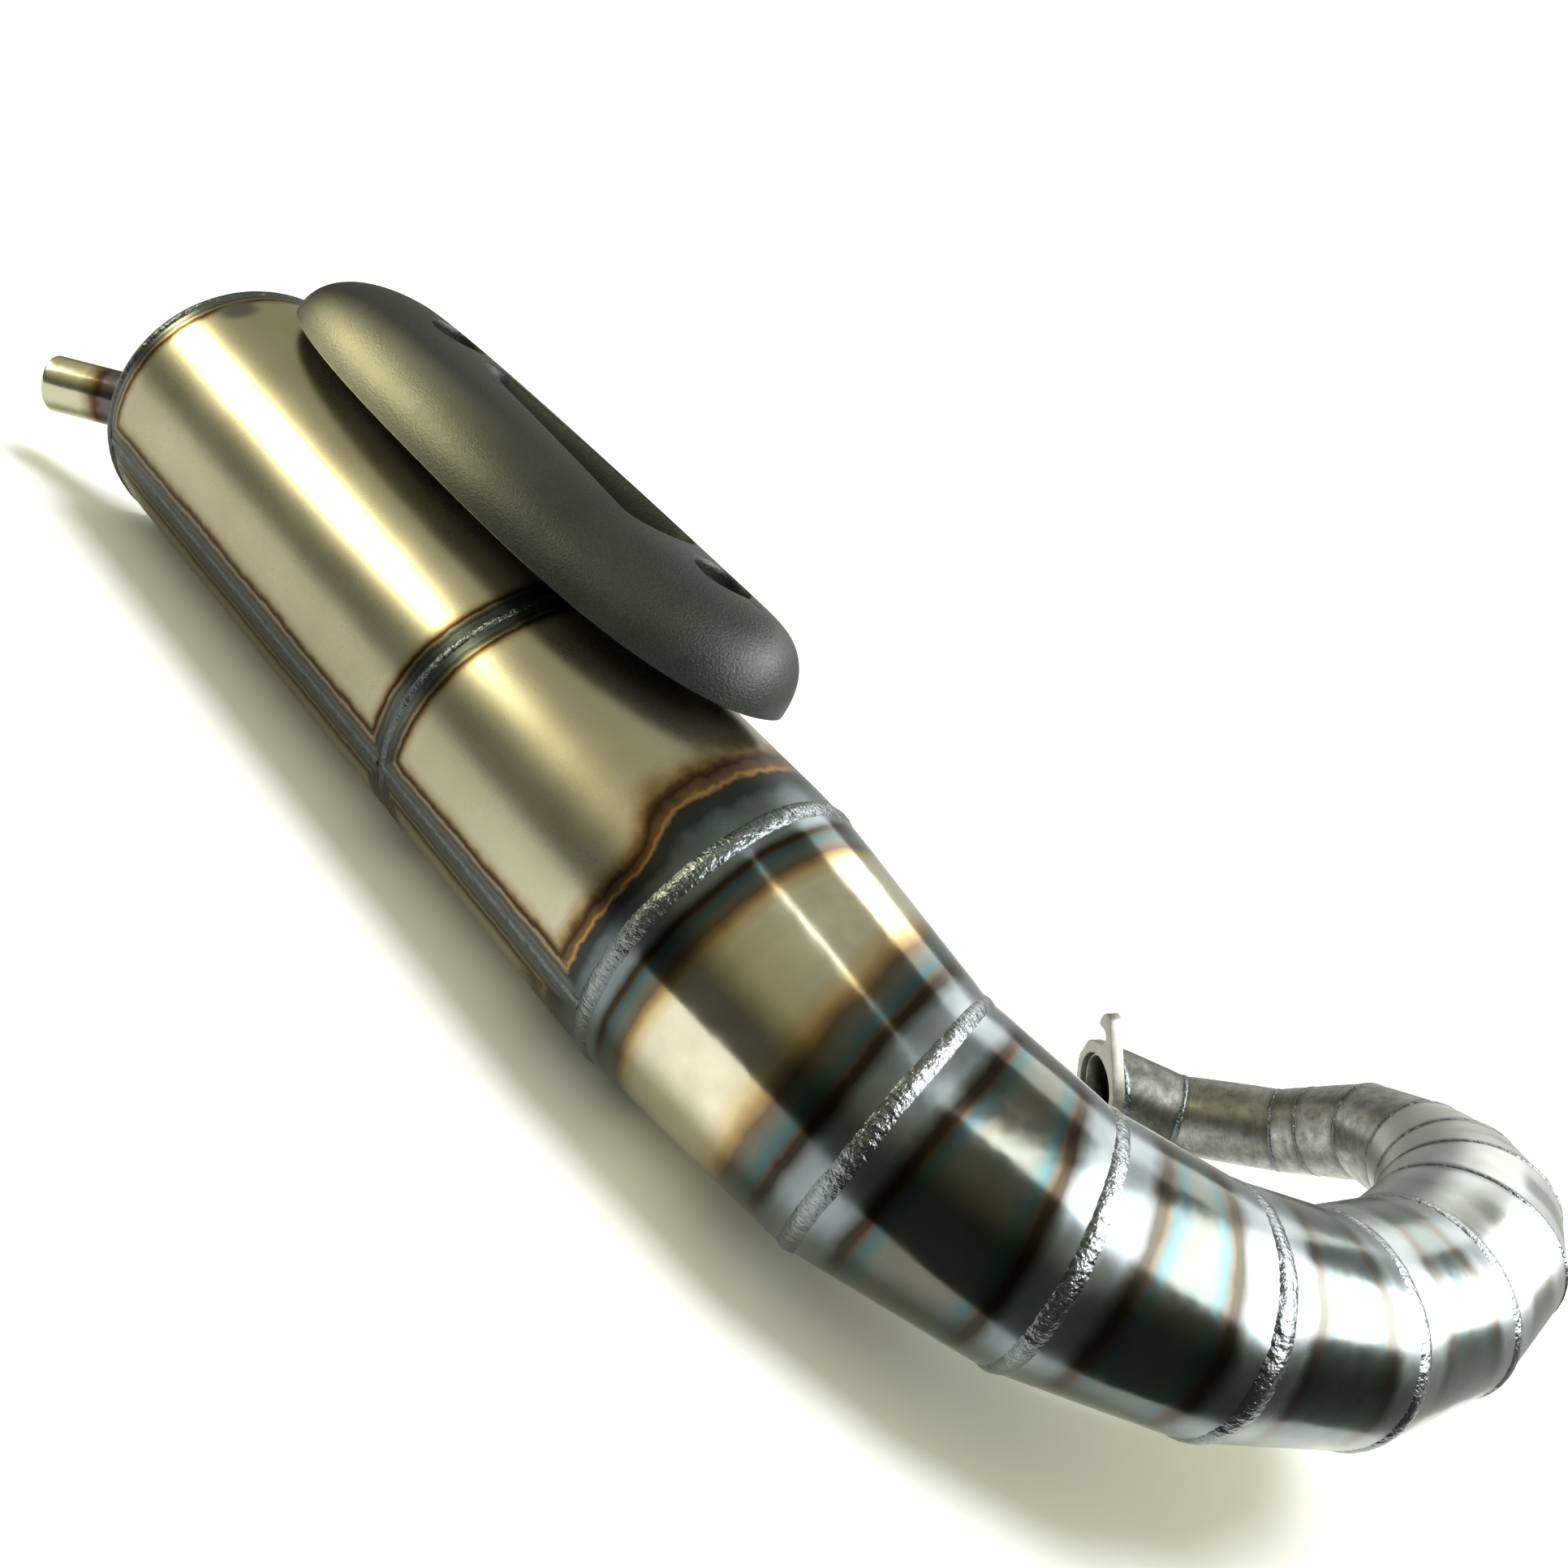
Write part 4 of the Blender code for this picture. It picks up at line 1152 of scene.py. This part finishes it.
def lights():
    lamp("key_strip", 219, 22, 1.0, (0.50, 0.21), 4.4, (1.0, 0.94, 0.62), (-200, 0, 20), 8)
    lamp("window", 10, 50, 1.2, (1.5, 1.08), 50.0, (1.0, 1.0, 0.98), (120, 40, 0), 0)
    lamp("far_window", 97, 46, 1.2, (0.8, 0.62), 4.5, (1.0, 0.99, 0.94), (60, 20, 0), 0)
    lamp("tube", 264, 73, 1.4, (0.9, 0.018), 0.5, (0.93, 1.0, 0.95), (30, -20, 30), -8)
    daylight = bpy.data.lights.new("daylight", "SUN")
    daylight.angle = math.radians(27)
    daylight.energy = 2.9
    daylight.color = (0.94, 0.95, 1.0)
    made = in_scene("daylight", daylight)
    made.rotation_euler = Vector(direction(80, 84)).to_track_quat("Z", "Y").to_euler()
    made.visible_glossy = False


def world():
    """White for the camera, soft fill for matte surfaces, and for mirrors a dark room under a ceiling."""
    made = bpy.data.worlds.new("studio")
    bpy.context.scene.world = made
    made.use_nodes = True
    n = Nodes("studio", made.node_tree)
    n.tree.nodes.clear()
    path = n.add("ShaderNodeLightPath").outputs

    def glow(colour):
        node = n.add("ShaderNodeBackground")
        n.set(node, Color=colour if isinstance(colour, bpy.types.NodeSocket) else (*colour, 1))
        return node.outputs[0]

    def choose(factor, other, chosen):
        node = n.add("ShaderNodeMixShader")
        for i, socket in enumerate((factor, other, chosen)):
            n.link(socket, node.inputs[i])
        return node.outputs[0]

    split = n.add("ShaderNodeSeparateXYZ")
    n.link(n.add("ShaderNodeTexCoord").outputs["Generated"], split.inputs[0])
    room = n.ramp(n.span(split.outputs["Z"], -1, 1), (
        (0.00, (0.12, 0.12, 0.10)), (0.42, (0.075, 0.078, 0.070)), (0.53, (0.072, 0.075, 0.065)),
        (0.60, (0.14, 0.135, 0.09)), (0.72, (0.33, 0.315, 0.195)), (1.00, (0.48, 0.475, 0.38)),
    ))
    mirror = n.mix(n.span(split.outputs["Y"], 0.35, 0.8), room, (0.62, 0.62, 0.58))
    unseen = choose(path["Is Glossy Ray"], glow((0.90, 0.91, 0.70)), glow(mirror))
    seen = choose(path["Is Camera Ray"], unseen, glow((1.2, 1.2, 1.2)))
    n.link(seen, n.add("ShaderNodeOutputWorld").inputs["Surface"])


def camera():
    data = bpy.data.cameras.new("camera")
    data.sensor_width = 36
    data.lens = 29.814
    data.clip_start = 0.01
    data.clip_end = 50
    made = in_scene("camera", data)
    right = unit(np.array([0.651, 0.5002, 0.571]))
    look = np.array([-0.4035, 0.8651, -0.2979])
    look = unit(look - (look @ right) * right)
    up = np.cross(right, look)
    matrix = Matrix([[*row] for row in np.stack([right, up, -look], axis=1)]).to_4x4()
    matrix.translation = Vector(placed([128.6, -303.5, 149.5]))
    made.matrix_world = matrix
    bpy.context.scene.camera = made


def main():
    camera()
    world()
    lights()
    floor()
    mid = mid_weld_line(0.0) - 0.2
    barrel_shell("rear_shell", BARREL_REAR, mid, ("rear_barrel_shell",))
    barrel_shell("front_shell", mid, 0.0, ("front_barrel_shell",))
    end_cap()
    barrel_welds()
    for i in range(len(HEADER)):
        header_cone(i)
    header_welds()
    tail_pipe()
    flange()
    guard_shell()
    guard_wells()
    fixings()
    hanger()
    carried_over()
    bpy.context.scene.view_settings.view_transform = "Standard"


main()
